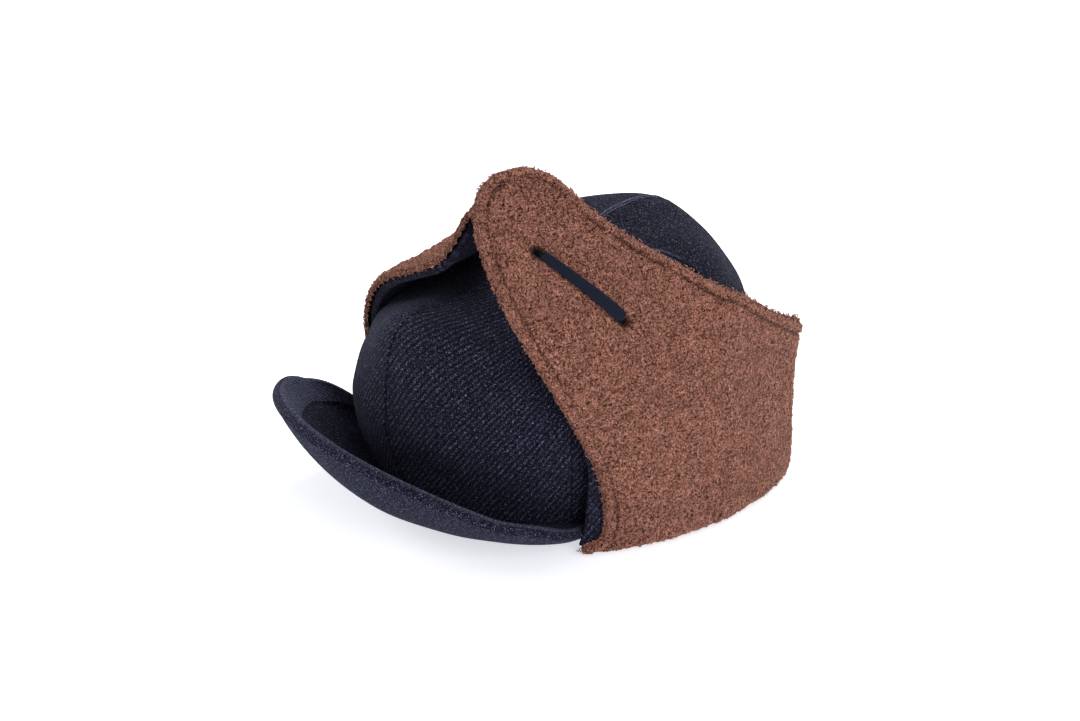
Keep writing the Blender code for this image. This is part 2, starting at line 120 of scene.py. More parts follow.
# ---- sizes of the cloth

FLEECE_FACE = 3.3 * MM
FLEECE_EDGE = 3.4 * MM
WOOL_EDGE = 2.0 * MM
EDGE_SEAM = -1.2 * MM
NUB_PITCH = 1.45 * MM
NUB_HEIGHT = 0.85 * MM
STITCH_INSET = 5.2 * MM
EDGE_STEPS = np.array((0, 0.12, 0.35, 0.7, 1.15, 1.65, 2.2, 2.8)) * MM
TWILL_PITCH = 2.5 * MM
TWILL_TURN = math.radians(-49)
WOOL_INSET = 1.4 * MM
FOOT_UNDER = -1.6 * MM
GORE_THICKNESS = 2.1 * MM
CROWN_UNDER = 3.2 * MM
TURN_RADIUS = 3.25 * MM
TURN_FRONT = -0.042
RIM_HALF_THICKNESS = 3.0 * MM
ELASTIC_CLEAR = 3.4 * MM
# Stitches: how long each is, the gap to the next, and the thread's radius.
BAND_STITCH = (2.4 * MM, 1.0 * MM, 0.26 * MM)
VISOR_STITCH = (2.6 * MM, 0.9 * MM, 0.28 * MM)
TACK_STITCH = (4.6 * MM, 0.2 * MM, 0.36 * MM)

# ---- how finely the cloth is drawn

FLEECE_STEP = 0.56 * MM
WOOL_STEP = 1.3 * MM
LOOP_PITCH = 1.75 * MM
LOOP_SIZE = 0.62 * MM
EDGE_LOOP_PITCH = 0.5 * MM
EDGE_LOOP_SIZE = 0.60 * MM
TURN_STEP = 0.7 * MM
SEEDS = dict(crown=5, crown_fine=6, pucker=8, visor=11, knots=3, small_knots=17, clumps=29,
             fine_clumps=31, groove=37, wool=41)
# About how long the ear's wall, tongue and tip are, and how wide it is: they set its grids' rows.
WALL_REACH = 0.088
TONGUE_REACH = 0.122
TIP_REACH = 0.125
EAR_WIDTH = 0.085
# Points of the cut edge: below the ear's front edge, on each of its edges, and over its tip.
FOOT_POINTS = 20
EDGE_POINTS = 500
WALL_POINTS = EDGE_POINTS // 2
TIP_POINTS = 22
BEHIND_START = FOOT_POINTS + EDGE_POINTS + TIP_POINTS + WALL_POINTS


# ---- numbers

def smooth(low, high, x):
    """0 below low, 1 above high, with an even slope at both ends."""
    t = np.clip((x - low) / (high - low), 0.0, 1.0)
    return t * t * (3 - 2 * t)


def hill(x, width):
    """1 at x = 0, falling off evenly on both sides over about width."""
    return np.exp(-(x / width) ** 2)


def unit(vectors):
    return vectors / np.maximum(np.linalg.norm(vectors, axis=-1, keepdims=True), 1e-12)


def running_sum(steps):
    return np.concatenate(([0.0], np.cumsum(steps)))


def running_length(points):
    """Length along a line of points, up to each of them."""
    return running_sum(np.linalg.norm(np.diff(points, axis=0), axis=1))


def along_line(spots, along, line):
    """Points at given lengths along a line of points."""
    return np.stack([np.interp(spots, along, column) for column in line.T], -1)


def hashed(i, j, seed):
    """An even random number from 0 to 1 for each pair of whole numbers."""
    n = i.astype(np.int64) * 374761393 + j.astype(np.int64) * 668265263 + seed * 1442695041
    n = n & WORD
    n = ((n ^ (n >> 13)) * 1274126177) & WORD
    return ((n ^ (n >> 16)) & 0xFFFFFF) / 0xFFFFFF


def nubs(u, v, pitch, seed):
    """Rounded knots of yarn, about pitch apart: their height at u, v, from 0 to 1."""
    i0, j0 = np.floor(u / pitch), np.floor(v / pitch)
    height = np.zeros_like(u)
    for di in (-1, 0, 1):
        for dj in (-1, 0, 1):
            i, j = i0 + di, j0 + dj
            across = u - (i + 0.12 + 0.76 * hashed(i, j, seed)) * pitch
            along = v - (j + 0.12 + 0.76 * hashed(i, j, seed + 1)) * pitch
            radius = pitch * (0.50 + 0.38 * hashed(i, j, seed + 2))
            top = 0.45 + 0.55 * hashed(i, j, seed + 3)
            round_part = np.sqrt(np.maximum(1 - (across ** 2 + along ** 2) / radius ** 2, 0))
            height = np.maximum(height, top * round_part)
    return height


def patches(u, v, size, seed):
    """Even random hills and hollows about size across, from -1 to 1."""
    i, j = np.floor(u / size), np.floor(v / size)
    a, b = u / size - i, v / size - j
    a, b = a * a * (3 - 2 * a), b * b * (3 - 2 * b)
    low = hashed(i, j, seed) * (1 - a) + hashed(i + 1, j, seed) * a
    high = hashed(i, j + 1, seed) * (1 - a) + hashed(i + 1, j + 1, seed) * a
    return 2 * (low * (1 - b) + high * b) - 1


def ripple(points, size, seed):
    """Soft waves through space, about size long, from about -1 to 1."""
    rng = np.random.default_rng(seed)
    total = np.zeros(points.shape[:-1])
    for _ in range(6):
        way = unit(rng.normal(size=3)) * 2 * math.pi / (size * rng.uniform(0.7, 1.5))
        total += np.sin(points @ way + rng.uniform(0, 2 * math.pi))
    return total / 3


def spline(points):
    """A function of s, from 0 to 1, along a smooth curve through evenly numbered points."""
    given = np.array(points)
    last = len(given) - 1

    def at(s):
        k = np.minimum((s * last).astype(int), last - 1)
        f = (s * last - k)[..., None]
        p1, p2 = given[k], given[k + 1]
        p0 = np.where((k > 0)[..., None], given[np.maximum(k - 1, 0)], 2 * p1 - p2)
        p3 = np.where((k + 2 <= last)[..., None], given[np.minimum(k + 2, last)], 2 * p2 - p1)
        return (2 * p1 + (p2 - p0) * f + (2 * p0 - 5 * p1 + 4 * p2 - p3) * f ** 2
                + (3 * p1 - p0 - 3 * p2 + p3) * f ** 3) / 2

    return at


def normals(surface, a, b, step_a, step_b):
    """Unit normals of surface(a, b), by small steps along both of its parameters."""
    along_a = surface(a + step_a, b) - surface(a - step_a, b)
    along_b = surface(a, b + step_b) - surface(a, b - step_b)
    return unit(np.cross(along_a, along_b))


# ---- the hat's surfaces

def crown_surface(t, rise):
    """The crown's outer face: t turns from the front towards the left, rise is 0 to 90 degrees."""
    angle = np.radians(rise)
    back = (0.5 - 0.5 * np.cos(t)) ** 2
    turned = np.degrees(np.arctan2(np.sin(t), np.cos(t)))
    power = 3.5 - 0.4 * back + 4.2 * hill(turned, 20)
    reach = (np.abs(np.cos(angle)) ** power + np.abs(np.sin(angle)) ** power) ** (-1 / power)
    out, up = reach * np.cos(angle), reach * np.sin(angle)
    # The right front is fuller.
    full = 1 + 0.034 * hill(turned + 58, 34) * hill(rise - 30, 22)
    x = CROWN_HALF_WIDTH * out * np.sin(t) * full
    y = -CROWN_HALF_LENGTH * out * np.cos(t) * full
    top = CROWN_FRONT_Z + (CROWN_BACK_Z - CROWN_FRONT_Z) * smooth(-0.070, 0.050, y)
    top = top + 0.0055 * hill(y - 0.058, 0.025)
    z = CROWN_BASE_Z + (top - CROWN_BASE_Z) * up
    pinch = np.maximum(0.0, 1 - (z - CROWN_BASE_Z) / PINCH_HEIGHT) ** 1.5
    scale = 1 - CROWN_BASE_PINCH * pinch * (0.5 + 0.5 * np.cos(t))
    # The far tongue presses the top in, and the top stands up towards the back.
    pressed = 0.009 * np.exp(-((x + 0.042) / 0.032) ** 2 - ((y + 0.015) / 0.052) ** 2) * up
    ridge = 2.6 * MM * smooth(0.005, 0.045, y) + 2.6 * MM * hill(180 - np.abs(turned), 24)
    ridge = ridge * smooth(30, 55, rise) * smooth(88, 77, rise)
    return np.stack([x * scale, y * scale, z - pressed + ridge], -1)


def crown_offset(t, rise, out):
    """Points that lie out from the crown's outer face."""
    level = np.clip(rise, 1.0, TOP_HOLE_ANGLE)
    normal = normals(crown_surface, t, level, 0.01, 1.0)
    foot = (rise <= 1.0)[..., None]
    normal = unit(np.where(foot, normal * (1, 1, 0), normal))
    return crown_surface(t, rise) + normal * np.asarray(out)[..., None]


def band_half(y):
    """Half width of the band's middle surface at y. It runs on straight in front of TANGENT_Y."""
    behind = MID_HALF_WIDTH * np.sqrt(np.maximum(1 - (y / MID_HALF_LENGTH) ** 2, 0))
    edge = MID_HALF_WIDTH * math.sqrt(1 - (TANGENT_Y / MID_HALF_LENGTH) ** 2)
    slope = -0.8 * (MID_HALF_WIDTH / MID_HALF_LENGTH) ** 2 * TANGENT_Y / edge
    return np.where(y >= TANGENT_Y, behind, edge + slope * (y - TANGENT_Y))


def lean_table(side):
    """Distance in and distance up, against length along the cloth, for one ear's lean."""
    lean = LEAN[side]
    along = np.linspace(0, LEAN_REACH, 481)
    turn = np.radians(lean["turn"]) * np.clip(along / lean["length"], 0, 1)
    change = np.radians(lean["final"] - lean["turn"])
    turn += change * np.clip((along - lean["again"]) / lean["length2"], 0, 1)
    middle = (turn[1:] + turn[:-1]) / 2
    step = along[1]
    return along, running_sum(np.sin(middle)) * step, running_sum(np.cos(middle)) * step


LEAN_TABLES = {side: lean_table(side) for side in MIRROR}


def arc_table():
    """Turn round the band against length along it, both behind the ear."""
    first = math.acos(-EAR_REAR_Y / MID_HALF_LENGTH)
    turn = np.linspace(first, math.pi + 0.1, 600)
    speed = np.hypot(MID_HALF_WIDTH * np.cos(turn), MID_HALF_LENGTH * np.sin(turn))
    return turn, EAR_REAR_Y + running_sum((speed[1:] + speed[:-1]) / 2 * np.diff(turn))


ARC_TURN, ARC_LENGTH = arc_table()
CORNER_S = float(np.interp(CORNER_ANGLE, ARC_TURN, ARC_LENGTH))
BACK_S = float(np.interp(math.pi, ARC_TURN, ARC_LENGTH))


def flare(s, height):
    """How far the band's corner springs outward near its upper edge."""
    below = np.maximum(band_height(s) - height, 0)
    spring = 5.6 * MM * hill(s - CORNER_S + 0.004, 0.027) * np.exp(-below / 0.016)
    belly = 2.4 * MM * smooth(EAR_REAR_Y - 0.004, CORNER_S - 0.012, s)
    return spring + belly * smooth(-0.014, 0.008, height)


def band_height(s):
    """Height of the band's upper edge behind the ear: it falls to the corner, then to the back."""
    t = np.interp(s, ARC_LENGTH, ARC_TURN)
    y = -BAND_HALF_LENGTH * np.cos(t)
    corner_y = -BAND_HALF_LENGTH * math.cos(CORNER_ANGLE)
    share = (y - EAR_REAR_Y) / (corner_y - EAR_REAR_Y)
    slope = EAR_REAR_HEIGHT + (CORNER_HEIGHT - EAR_REAR_HEIGHT) * np.clip(share, 0, 1)
    level = BACK_HEIGHT + (CORNER_HEIGHT - BACK_HEIGHT) * smooth(BAND_HALF_LENGTH, corner_y, y)
    return np.where(y < corner_y, slope, level)


def ear_surface(side):
    """The middle surface of one ear, as a function of its flat pattern's s and height."""
    lean = LEAN[side]
    along, inward, upward = LEAN_TABLES[side]

    def surface(s, height):
        start = lean["start"] + 0.12 * (s + 0.060) + 15 * np.maximum(s + 0.010, 0) ** 2
        length = np.clip((height - start) * math.cos(LEAN_SLOPE), 0, LEAN_REACH)
        lost = length - np.interp(length, along, upward)
        x = band_half(s) - np.interp(length, along, inward) + flare(s, height)
        y = s + lost * math.sin(LEAN_SLOPE)
        z = height - lost * math.cos(LEAN_SLOPE)
        z = z - lean["sink"] * smooth(-0.070, -0.035, s) * smooth(0.052, 0.084, height)
        z = z + lean["curl"] * smooth(0.149, 0.180, height)
        return np.stack([MIRROR[side] * x, y, z], -1)

    return surface


def band_surface(side):
    """The band's middle surface behind the ear, as a function of length round it and height."""
    def surface(s, height):
        t = np.interp(s, ARC_LENGTH, ARC_TURN)
        x, y = MID_HALF_WIDTH * np.sin(t), -MID_HALF_LENGTH * np.cos(t)
        normal = unit(np.stack([x / MID_HALF_WIDTH ** 2, y / MID_HALF_LENGTH ** 2], -1))
        out = flare(s, height)
        x, y = x + normal[..., 0] * out, y + normal[..., 1] * out
        return np.stack([MIRROR[side] * x, y, height + 0 * x], -1)

    return surface


def zone_surface(side, zone):
    """The middle surface of one zone of the band."""
    return ear_surface(side) if zone == "ear" else band_surface(side)


def cloth_normals(surface, side, s, height):
    """Unit normals of the band's middle surface, away from the head."""
    return normals(surface, s, height, 0.2 * MM, 0.2 * MM) * MIRROR[side]


def lifted(surface, side, s, height, out, rolled=True):
    """Points that lie out from the band's middle surface. Below the fold line they roll under."""
    above = np.maximum(height, FOLD_Z) if rolled else height
    turn = np.clip(FOLD_Z - height, 0, None) / FOLD_Z * rolled
    turned = (turn * math.pi / 2)[..., None]
    way = cloth_normals(surface, side, s, above) * np.cos(turned) + DOWN * np.sin(turned)
    return surface(s, above) + way * out[..., None]


def lifted_facing(surface, side, s, height, out, step=1 * MM):
    """The points that lifted gives, and the unit way that another step out would move them."""
    points = lifted(surface, side, s, height, out)
    return points, unit(lifted(surface, side, s, height, out + step) - points)


def visor_surface(s, w):
    """The visor's middle surface: s from -1 at its right end to 1, w from its root to its rim."""
    t = VISOR_HALF_ANGLE * s
    root = crown_surface(t, 0 * t)
    taper = np.sqrt(np.maximum(1 - np.abs(s) ** 10, 0.0))
    width = VISOR_WIDTH * (1 - 0.2 * s * s) * taper
    heading = VISOR_SPREAD * np.sin(math.pi / 2 * s)
    turn = math.radians(85) * s
    rim_z = 0.0173 + 0.0321 * np.cos(turn) - 0.0091 * np.sin(turn)
    rim_z = rim_z + 4.0 * MM * smooth(-0.5, -0.8, s) + 6.0 * MM * smooth(-0.8, -0.97, s)
    rim_z = rim_z + 4.5 * MM * smooth(0.66, 0.90, s) + 1.9 * MM * hill(s + 0.5, 0.30)
    lift = (rim_z - VISOR_ROOT_Z) * taper
    x = root[..., 0] + (w * width - 0.0016) * np.sin(heading)
    y = root[..., 1] - (w * width - 0.0016) * np.cos(heading)
    even = 0.33 + 0.11 * hill(s + 0.33, 0.36)
    return np.stack([x, y, VISOR_ROOT_Z + lift * (even * w + (1 - even) * w ** 3)], -1)


# ---- flat patterns

wall_front, wall_rear = spline(WALL_FRONT), spline(WALL_REAR)
tongue_front, tongue_rear = spline(TONGUE_FRONT), spline(TONGUE_REAR)


def foot_reach(height):
    """How far the fleece's foot turns forward under the wool at the front."""
    return 7.0 * MM * smooth(0.0080, 0.0045, height)


def ear_edges(r):
    """The ear's front and rear edges at r: 0 to 1 up the wall, 1 to 2 up the tongue."""
    low, high = np.clip(r, 0, 1), np.clip(r - 1, 0, 1)
    on_wall = (r <= 1)[..., None]
    front = np.where(on_wall, wall_front(low), tongue_front(high))
    rear = np.where(on_wall, wall_rear(low), tongue_rear(high))
    height = front[..., 1]
    front_in = 2.0 * MM - 0.8 * MM * smooth(0.030, 0.050, height)
    front_in = front_in + 2.0 * MM * smooth(0.150, 0.180, height) - foot_reach(height)
    rear_in = 3.2 * MM * smooth(1.0, 1.15, r) - 1.4 * MM * smooth(1.55, 1.9, r)
    front = front + np.stack([front_in, -2.0 * MM * smooth(0.150, 0.185, height)], -1)
    rear = rear - np.stack([0.62 * rear_in, 0.78 * rear_in], -1)
    return front, rear


def free_outline():
    """The cut edge of one half of the band, from the ear's front foot round to the centre back."""
    front, rear = ear_edges(np.linspace(0, 2, EDGE_POINTS))
    tip = front[-1] + (rear[-1] - front[-1]) * np.linspace(0, 1, TIP_POINTS + 2)[1:-1, None]
    behind = np.linspace(EAR_REAR_Y, BACK_S + 0.02, 240)[1:]
    top = np.stack([behind, band_height(behind)], -1)
    below = np.linspace(0.010, 0.0005, FOOT_POINTS)
    foot = front[0] - np.stack([0 * below, below], -1)
    return np.concatenate([foot, front, tip, rear[:WALL_POINTS - 1:-1], top])


OUTLINE = free_outline()
OUTLINE_LENGTH = running_length(OUTLINE)
ZONES = (
    ("ear", WALL_FRONT[0][0] - 3 * MM, EAR_REAR_Y),
    ("corner", EAR_REAR_Y, CORNER_S),
    ("back", CORNER_S, BACK_S),
)


def edge_distance(s, height):
    """Distance in the flat pattern from each point to the band's cut edge."""
    spots = np.stack([s.ravel(), height.ravel()], -1)
    nearest = np.empty(len(spots))
    for k in range(0, len(spots), 4000):
        gaps = np.linalg.norm(spots[k:k + 4000, None] - OUTLINE[None], axis=-1)
        nearest[k:k + 4000] = gaps.min(1)
    return nearest.reshape(s.shape)


def segment_distance(s, height, start, end):
    """Distance to a straight line in the flat pattern."""
    way = end - start
    spot = np.stack([s, height], -1) - start
    share = np.clip(spot @ way / (way @ way), 0, 1)
    return np.linalg.norm(spot - share[..., None] * way, axis=-1)


def spread(width, count):
    """Shares of the way across, close together near both ends, for each of several widths."""
    edge = EDGE_STEPS[None, :]
    across = width[:, None]
    middle = np.linspace(0, 1, count + 2)[1:-1]
    inner = edge[:, -1:] + (across - 2 * edge[:, -1:]) * middle
    return np.concatenate([edge + 0 * across, inner, across - edge[:, ::-1]], 1) / across


def foot_levels(foot):
    """Heights of the rows that roll under the fold."""
    return np.linspace(foot, FOLD_Z, 14)


def ear_grid(step, foot, forward=None):
    """The ear's flat pattern as a grid. forward says how far on the front edge moves by height."""
    wall_rows = np.linspace(0, 1, round(WALL_REACH / step) + 1)
    tip = 2 - EDGE_STEPS[::-1] / TIP_REACH
    tongue_rows = np.linspace(1, tip[0], round(TONGUE_REACH / step) + 1)[1:]
    front, rear = ear_edges(np.concatenate([wall_rows, tongue_rows, tip[1:]]))
    if forward is not None:
        front = front - np.stack([forward(front[:, 1]), 0 * front[:, 1]], -1)
    width = np.linalg.norm(rear - front, axis=-1)
    share = spread(width, round(EAR_WIDTH / step))[..., None]
    grid = front[:, None] + (rear - front)[:, None] * share
    grid = grid[grid[:, 0, 1] > FOLD_Z + 0.3 * MM]
    if foot is not None:
        levels = foot_levels(foot)
        under = np.repeat(grid[:1], len(levels), 0)
        under[..., 1] = levels[:, None]
        grid = np.concatenate([under, grid])
    return grid[..., 0], grid[..., 1]


def band_grid(first, last, step, foot, inset=0.0):
    """The flat pattern of a stretch of the band behind the ear, as a grid."""
    s = np.linspace(first, last, round((last - first) / step) + 1)
    top = band_height(s) - inset
    rows = spread(np.full(1, 0.075), round(0.070 / step))[0]
    rows = rows[len(EDGE_STEPS) - 1:] - rows[len(EDGE_STEPS) - 1]
    rows = rows / rows[-1]
    grid_s = np.repeat(s[None], len(rows), 0)
    start = FOLD_Z + 0.4 * MM
    height = start + rows[:, None] * (top[None] - start)
    if foot is not None:
        levels = foot_levels(foot)
        grid_s = np.concatenate([grid_s[:len(levels)], grid_s])
        height = np.concatenate([np.repeat(levels[:, None], len(s), 1), height])
    return grid_s, height


# ---- meshes

def cells(number):
    """The quads between the rows and columns of a grid of point numbers."""
    corners = [number[:-1, :-1], number[:-1, 1:], number[1:, 1:], number[1:, :-1]]
    return np.stack(corners, -1).reshape(-1, 4)


class Mesh:
    """Grids and tubes gathered into one mesh, with a cloth coordinate and a pile value, which
    several materials use for painted shade and highlight.
    """

    def __init__(self):
        self.points, self.quads, self.cloth, self.pile = [], [], [], []
        self.count = 0

    def add(self, points, quads, cloth=None, pile=None):
        flat = points.reshape(-1, 3)
        self.points.append(flat)
        self.quads.append(quads + self.count)
        self.cloth.append(np.zeros((len(flat), 2)) if cloth is None else cloth.reshape(-1, 2))
        self.pile.append(np.full(len(flat), 0.5) if pile is None else pile.ravel())
        self.count += len(flat)

    def grid(self, points, cloth=None, pile=None, flip=False, ring=False):
        """Rows by columns of points. A ring joins its last column to its first."""
        rows, columns = points.shape[:2]
        number = np.arange(rows * columns).reshape(rows, columns)
        if ring:
            number = np.concatenate([number, number[:, :1]], 1)
        quads = cells(number)
        self.add(points, quads[:, ::-1] if flip else quads, cloth, pile)

    def shell(self, outer, inner, cloth=None, pile=None, flip=False):
        """A closed piece of cloth between two equal grids."""
        rows, columns = outer.shape[:2]
        total = rows * columns
        number = np.arange(total).reshape(rows, columns)
        face = cells(number)
        border = np.concatenate([number[0], number[1:, -1], number[-1, -2::-1],
                                 number[-2:0:-1, 0]])
        after = np.roll(border, -1)
        rim = np.stack([after, border, border + total, after + total], -1)
        quads = np.concatenate([face, face[:, ::-1] + total, rim])
        both = np.concatenate([outer.reshape(-1, 3), inner.reshape(-1, 3)])
        twice = None if cloth is None else np.concatenate([cloth.reshape(-1, 2)] * 2)
        piles = None if pile is None else np.concatenate([pile.ravel()] * 2)
        self.add(both, quads[:, ::-1] if flip else quads, twice, piles)

    def tubes(self, centres, across, outward, radius, sides, pile=None):
        """Many tubes at once. centres, across and outward are tubes by points by 3."""
        tubes, steps = centres.shape[:2]
        turn = np.linspace(0, 2 * math.pi, sides, endpoint=False) + math.pi / sides
        size = np.broadcast_to(np.asarray(radius), (tubes, steps))[..., None, None]
        ring = (across[:, :, None] * np.cos(turn)[None, None, :, None]
                + outward[:, :, None] * np.sin(turn)[None, None, :, None])
        points = centres[:, :, None] + ring * size
        number = np.arange(tubes * steps * sides).reshape(tubes, steps, sides)
        beside = np.roll(number, -1, 2)
        quads = np.stack([number[:, :-1], beside[:, :-1], beside[:, 1:], number[:, 1:]], -1)
        quads = quads.reshape(-1, 4)
        high = None if pile is None else np.repeat(pile.ravel(), sides)
        self.add(points, quads, pile=high)


def new_object(name, data):
    thing = bpy.data.objects.new(name, data)
    bpy.context.scene.collection.objects.link(thing)
    return thing


def make_piece(name, mesh, material):
    """An object in the row's frame, smooth shaded, with the cloth coordinates as its UV map."""
    points = np.concatenate(mesh.points) + HEAD_CENTRE
    quads = np.concatenate(mesh.quads)
    data = bpy.data.meshes.new(name)
    data.vertices.add(len(points))
    data.vertices.foreach_set("co", points.astype(np.float32).ravel())
    data.loops.add(quads.size)
    data.loops.foreach_set("vertex_index", quads.astype(np.int32).ravel())
    data.polygons.add(len(quads))
    data.polygons.foreach_set("loop_start", np.arange(0, quads.size, 4, dtype=np.int32))
    data.update(calc_edges=True)
    data.shade_smooth()
    layer = data.uv_layers.new(name="cloth")
    cloth = np.concatenate(mesh.cloth)[quads.ravel()]
    layer.data.foreach_set("uv", cloth.astype(np.float32).ravel())
    pile = data.attributes.new("pile", "FLOAT", "POINT")
    pile.data.foreach_set("value", np.concatenate(mesh.pile).astype(np.float32))
    data.materials.append(material)
    return new_object(name, data)


def add_piece(name, mesh, material, body, slot, *nodes):
    """Makes a piece and rides it on its body, or leaves an ear's where it stands, and hides the
    nodes it stands for.
    """
    piece = make_piece(name, mesh, material)
    side, _, zone = body.partition("_")
    if zone == "ear":
        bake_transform(piece)
    else:
        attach(piece, body)
    if nodes:
        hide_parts(*nodes)
    return piece


def stitches(mesh, points, outward, length, gap, radius):
    """A row of sewn stitches along a line of points: each one a short bent thread."""
    along = running_length(points)
    starts = np.arange(gap / 2, along[-1] - length, length + gap)
    spots = starts[:, None] + length * np.linspace(0, 1, 6)[None]
    up = unit(along_line(spots, along, outward))
    bow = np.array((-1.2, 0.2, 0.6, 0.6, 0.2, -1.2)) * radius
    centres = along_line(spots, along, points) + up * bow[None, :, None]
    way = unit(np.gradient(centres, axis=1))
    size = np.array((0.45, 0.9, 1.0, 1.0, 0.9, 0.45)) * radius
    mesh.tubes(centres, unit(np.cross(up, way)), up, size[None], 6)


# ---- materials

def set_inputs(node, values):
    for socket, value in values.items():
        node.inputs[socket].default_value = value


class Nodes:
    """A short way to write a node tree."""

    def __init__(self, name, roughness, sheen=0.0, sheen_tint=(1, 1, 1), specular=0.18,
                 metallic=0.0):
        self.material = bpy.data.materials.new(name)
        self.material.use_nodes = True
        self.tree = self.material.node_tree
        self.shader = self.tree.nodes["Principled BSDF"]
        set_inputs(self.shader, {
            "Roughness": roughness, "Sheen Weight": sheen, "Sheen Roughness": 0.55,
            "Sheen Tint": (*sheen_tint, 1), "Specular IOR Level": specular, "Metallic": metallic,
        })

    def add(self, kind, inputs=(), **settings):
        node = self.tree.nodes.new("ShaderNode" + kind)
        for key, value in settings.items():
            setattr(node, key, value)
        for socket, value in dict(inputs).items():
            self.put(node.inputs[socket], value)
        return node

    def put(self, socket, value):
        if isinstance(value, bpy.types.NodeSocket):
            self.tree.links.new(value, socket)
        else:
            socket.default_value = value

    def math(self, operation, a, b=0.0, c=0.0):
        return self.add("Math", {0: a, 1: b, 2: c}, operation=operation).outputs[0]

    def noise(self, vector, scale, detail=2.0, roughness=0.5, distortion=0.0):
        found = self.add("TexNoise", {"Vector": vector, "Scale": scale, "Detail": detail,
                                      "Roughness": roughness, "Distortion": distortion})
        return found.outputs["Fac"]

    def wave(self, along, length):
        """An even wave from 0 to 1 that repeats each length."""
        phase = self.math("MULTIPLY", along, 2 * math.pi / length)
        return self.math("MULTIPLY_ADD", self.math("SINE", phase), 0.5, 0.5)

    def ramp(self, factor, stops):
        node = self.add("ValToRGB", {"Fac": factor})
        elements = node.color_ramp.elements
        while len(elements) < len(stops):
            elements.new(0.5)
        for element, (place, colour) in zip(elements, stops):
            element.position = place
            element.color = (*colour, 1)
        return node.outputs["Color"]

    def mix(self, factor, a, b, blend):
        """Two colours blended. The colours' sockets have no names of their own."""
        inputs = {"Factor": factor, 6: a, 7: b}
        return self.add("Mix", inputs, data_type="RGBA", blend_type=blend).outputs[2]

    def place(self):
        return self.add("TexCoord").outputs["Object"]

    def cloth(self, turn=0.0):
        found = self.add("UVMap", uv_map="cloth").outputs["UV"]
        return self.add("Mapping", {"Vector": found, "Rotation": (0, 0, turn)}).outputs["Vector"]

    def pile(self):
        return self.add("Attribute", attribute_name="pile").outputs["Fac"]

    def finish(self, colour, bumps):
        """Sets the colour, and stacks bumps given as (height, strength, distance)."""
        self.put(self.shader.inputs["Base Color"], colour)
        normal = None
        for height, strength, distance in bumps:
            node = self.add("Bump", {"Height": height, "Strength": strength, "Distance": distance})
            if normal is not None:
                self.tree.links.new(normal, node.inputs["Normal"])
            normal = node.outputs["Normal"]
        self.tree.links.new(normal, self.shader.inputs["Normal"])
        return self.material


BLACK = (0.0, 0.0, 0.0)


def grey(level):
    return (level, level, level)


def scaled(colour, by):
    return tuple(by * part for part in colour)


def fleece_material():
    """Reddish brown looped yarn over its own uneven tone, with painted highlight on the loops'
    crowns and painted shade in between, both from the pile attribute.
    """
    n = Nodes("boucle_fleece", 0.95, sheen=0.06, sheen_tint=(1.0, 0.80, 0.70))
    place, pile = n.place(), n.pile()
    fine = n.noise(place, 1900, 3, 0.78, 1.4)
    wide = n.noise(place, 120, 2, 0.5)
    # Painted shade and highlight: the pile height makes the yarn dark between the loops and light
    # on their crowns.
    height = n.math("ADD", n.math("MULTIPLY", pile, 0.40), n.math("MULTIPLY", fine, 2.6))
    yarn = n.ramp(n.math("SUBTRACT", height, 1.01), [
        (0.27, (0.0030, 0.0005, 0.0003)), (0.41, (0.0400, 0.0088, 0.0052)),
        (0.54, (0.1200, 0.0335, 0.0222)), (0.72, (0.6300, 0.2950, 0.2100)),
    ])
    shade = n.ramp(wide, [(0.3, (0.86, 0.84, 0.83)), (0.7, grey(1.10))])
    colour = n.mix(1.0, yarn, shade, "MULTIPLY")
    return n.finish(colour, [(fine, 0.8, 0.35 * MM)])


def wool_material(name, twill, lift=1.0, fleck=1.0, painted_highlight=0.0):
    """Navy melange wool: dark yarns with pale fibres, and ribs that run across the cloth.

    lift brightens the yarns, fleck their pale specks, and the last number paints a highlight on
    the places of high pile.
    """
    n = Nodes(name, 0.96, sheen=0.03, sheen_tint=(0.55, 0.65, 1.0), specular=0.07)
    place = n.place()
    cloth = n.cloth(TWILL_TURN)
    wander = n.math("MULTIPLY", n.noise(cloth, 180, 2), 0.35 * TWILL_PITCH)
    sliding = n.add("CombineXYZ", {"Y": wander}).outputs[0]
    moved = n.add("VectorMath", {0: cloth, 1: sliding}, operation="ADD").outputs[0]
    rib = n.wave(n.add("SeparateXYZ", {"Vector": moved}).outputs["Y"], TWILL_PITCH)
    fibre = n.noise(place, 1900, 3, 0.8)
    speck = n.noise(place, 1600, 2, 0.8, 0.5)
    wide = n.noise(place, 70, 2)
    yarn = n.ramp(fibre, [
        (0.42, scaled((0.0003, 0.0003, 0.0018), lift)),
        (0.53, scaled((0.0046, 0.0044, 0.0120), lift)),
        (0.67, scaled((0.0400, 0.0400, 0.0740), lift)),
    ])
    colour = n.mix(1.0, yarn, n.ramp(wide, [(0.3, grey(0.88)), (0.7, grey(1.12))]), "MULTIPLY")
    shine = 0.170 * lift * fleck
    pale = n.ramp(speck, [(0.555, BLACK), (0.75, (shine, shine, 1.6 * shine))])
    colour = n.mix(1.0, colour, pale, "ADD")
    uneven = n.math("ADD", rib, n.math("MULTIPLY_ADD", fibre, 1.0, -0.5))
    ribs = n.ramp(uneven, [
        (0.15, (0.44, 0.44, 0.46)), (0.55, grey(0.94)), (0.90, (1.45, 1.45, 1.43)),
    ])
    colour = n.mix(twill, colour, ribs, "MULTIPLY")
    # Painted highlight: a lighter colour where the pile attribute marks the crown's seam ridges
    # and the visor's border band.
    if painted_highlight:
        ridge = n.ramp(n.pile(), [(0.60, BLACK), (0.95, scaled((0.065, 0.067, 0.105), painted_highlight))])
        broken = n.ramp(fibre, [(0.42, grey(0.1)), (0.60, grey(1.5))])
        colour = n.mix(1.0, colour, n.mix(1.0, ridge, broken, "MULTIPLY"), "ADD")
    return n.finish(colour, [(rib, 0.60 * twill, 0.30 * MM), (fibre, 0.9, 0.30 * MM)])


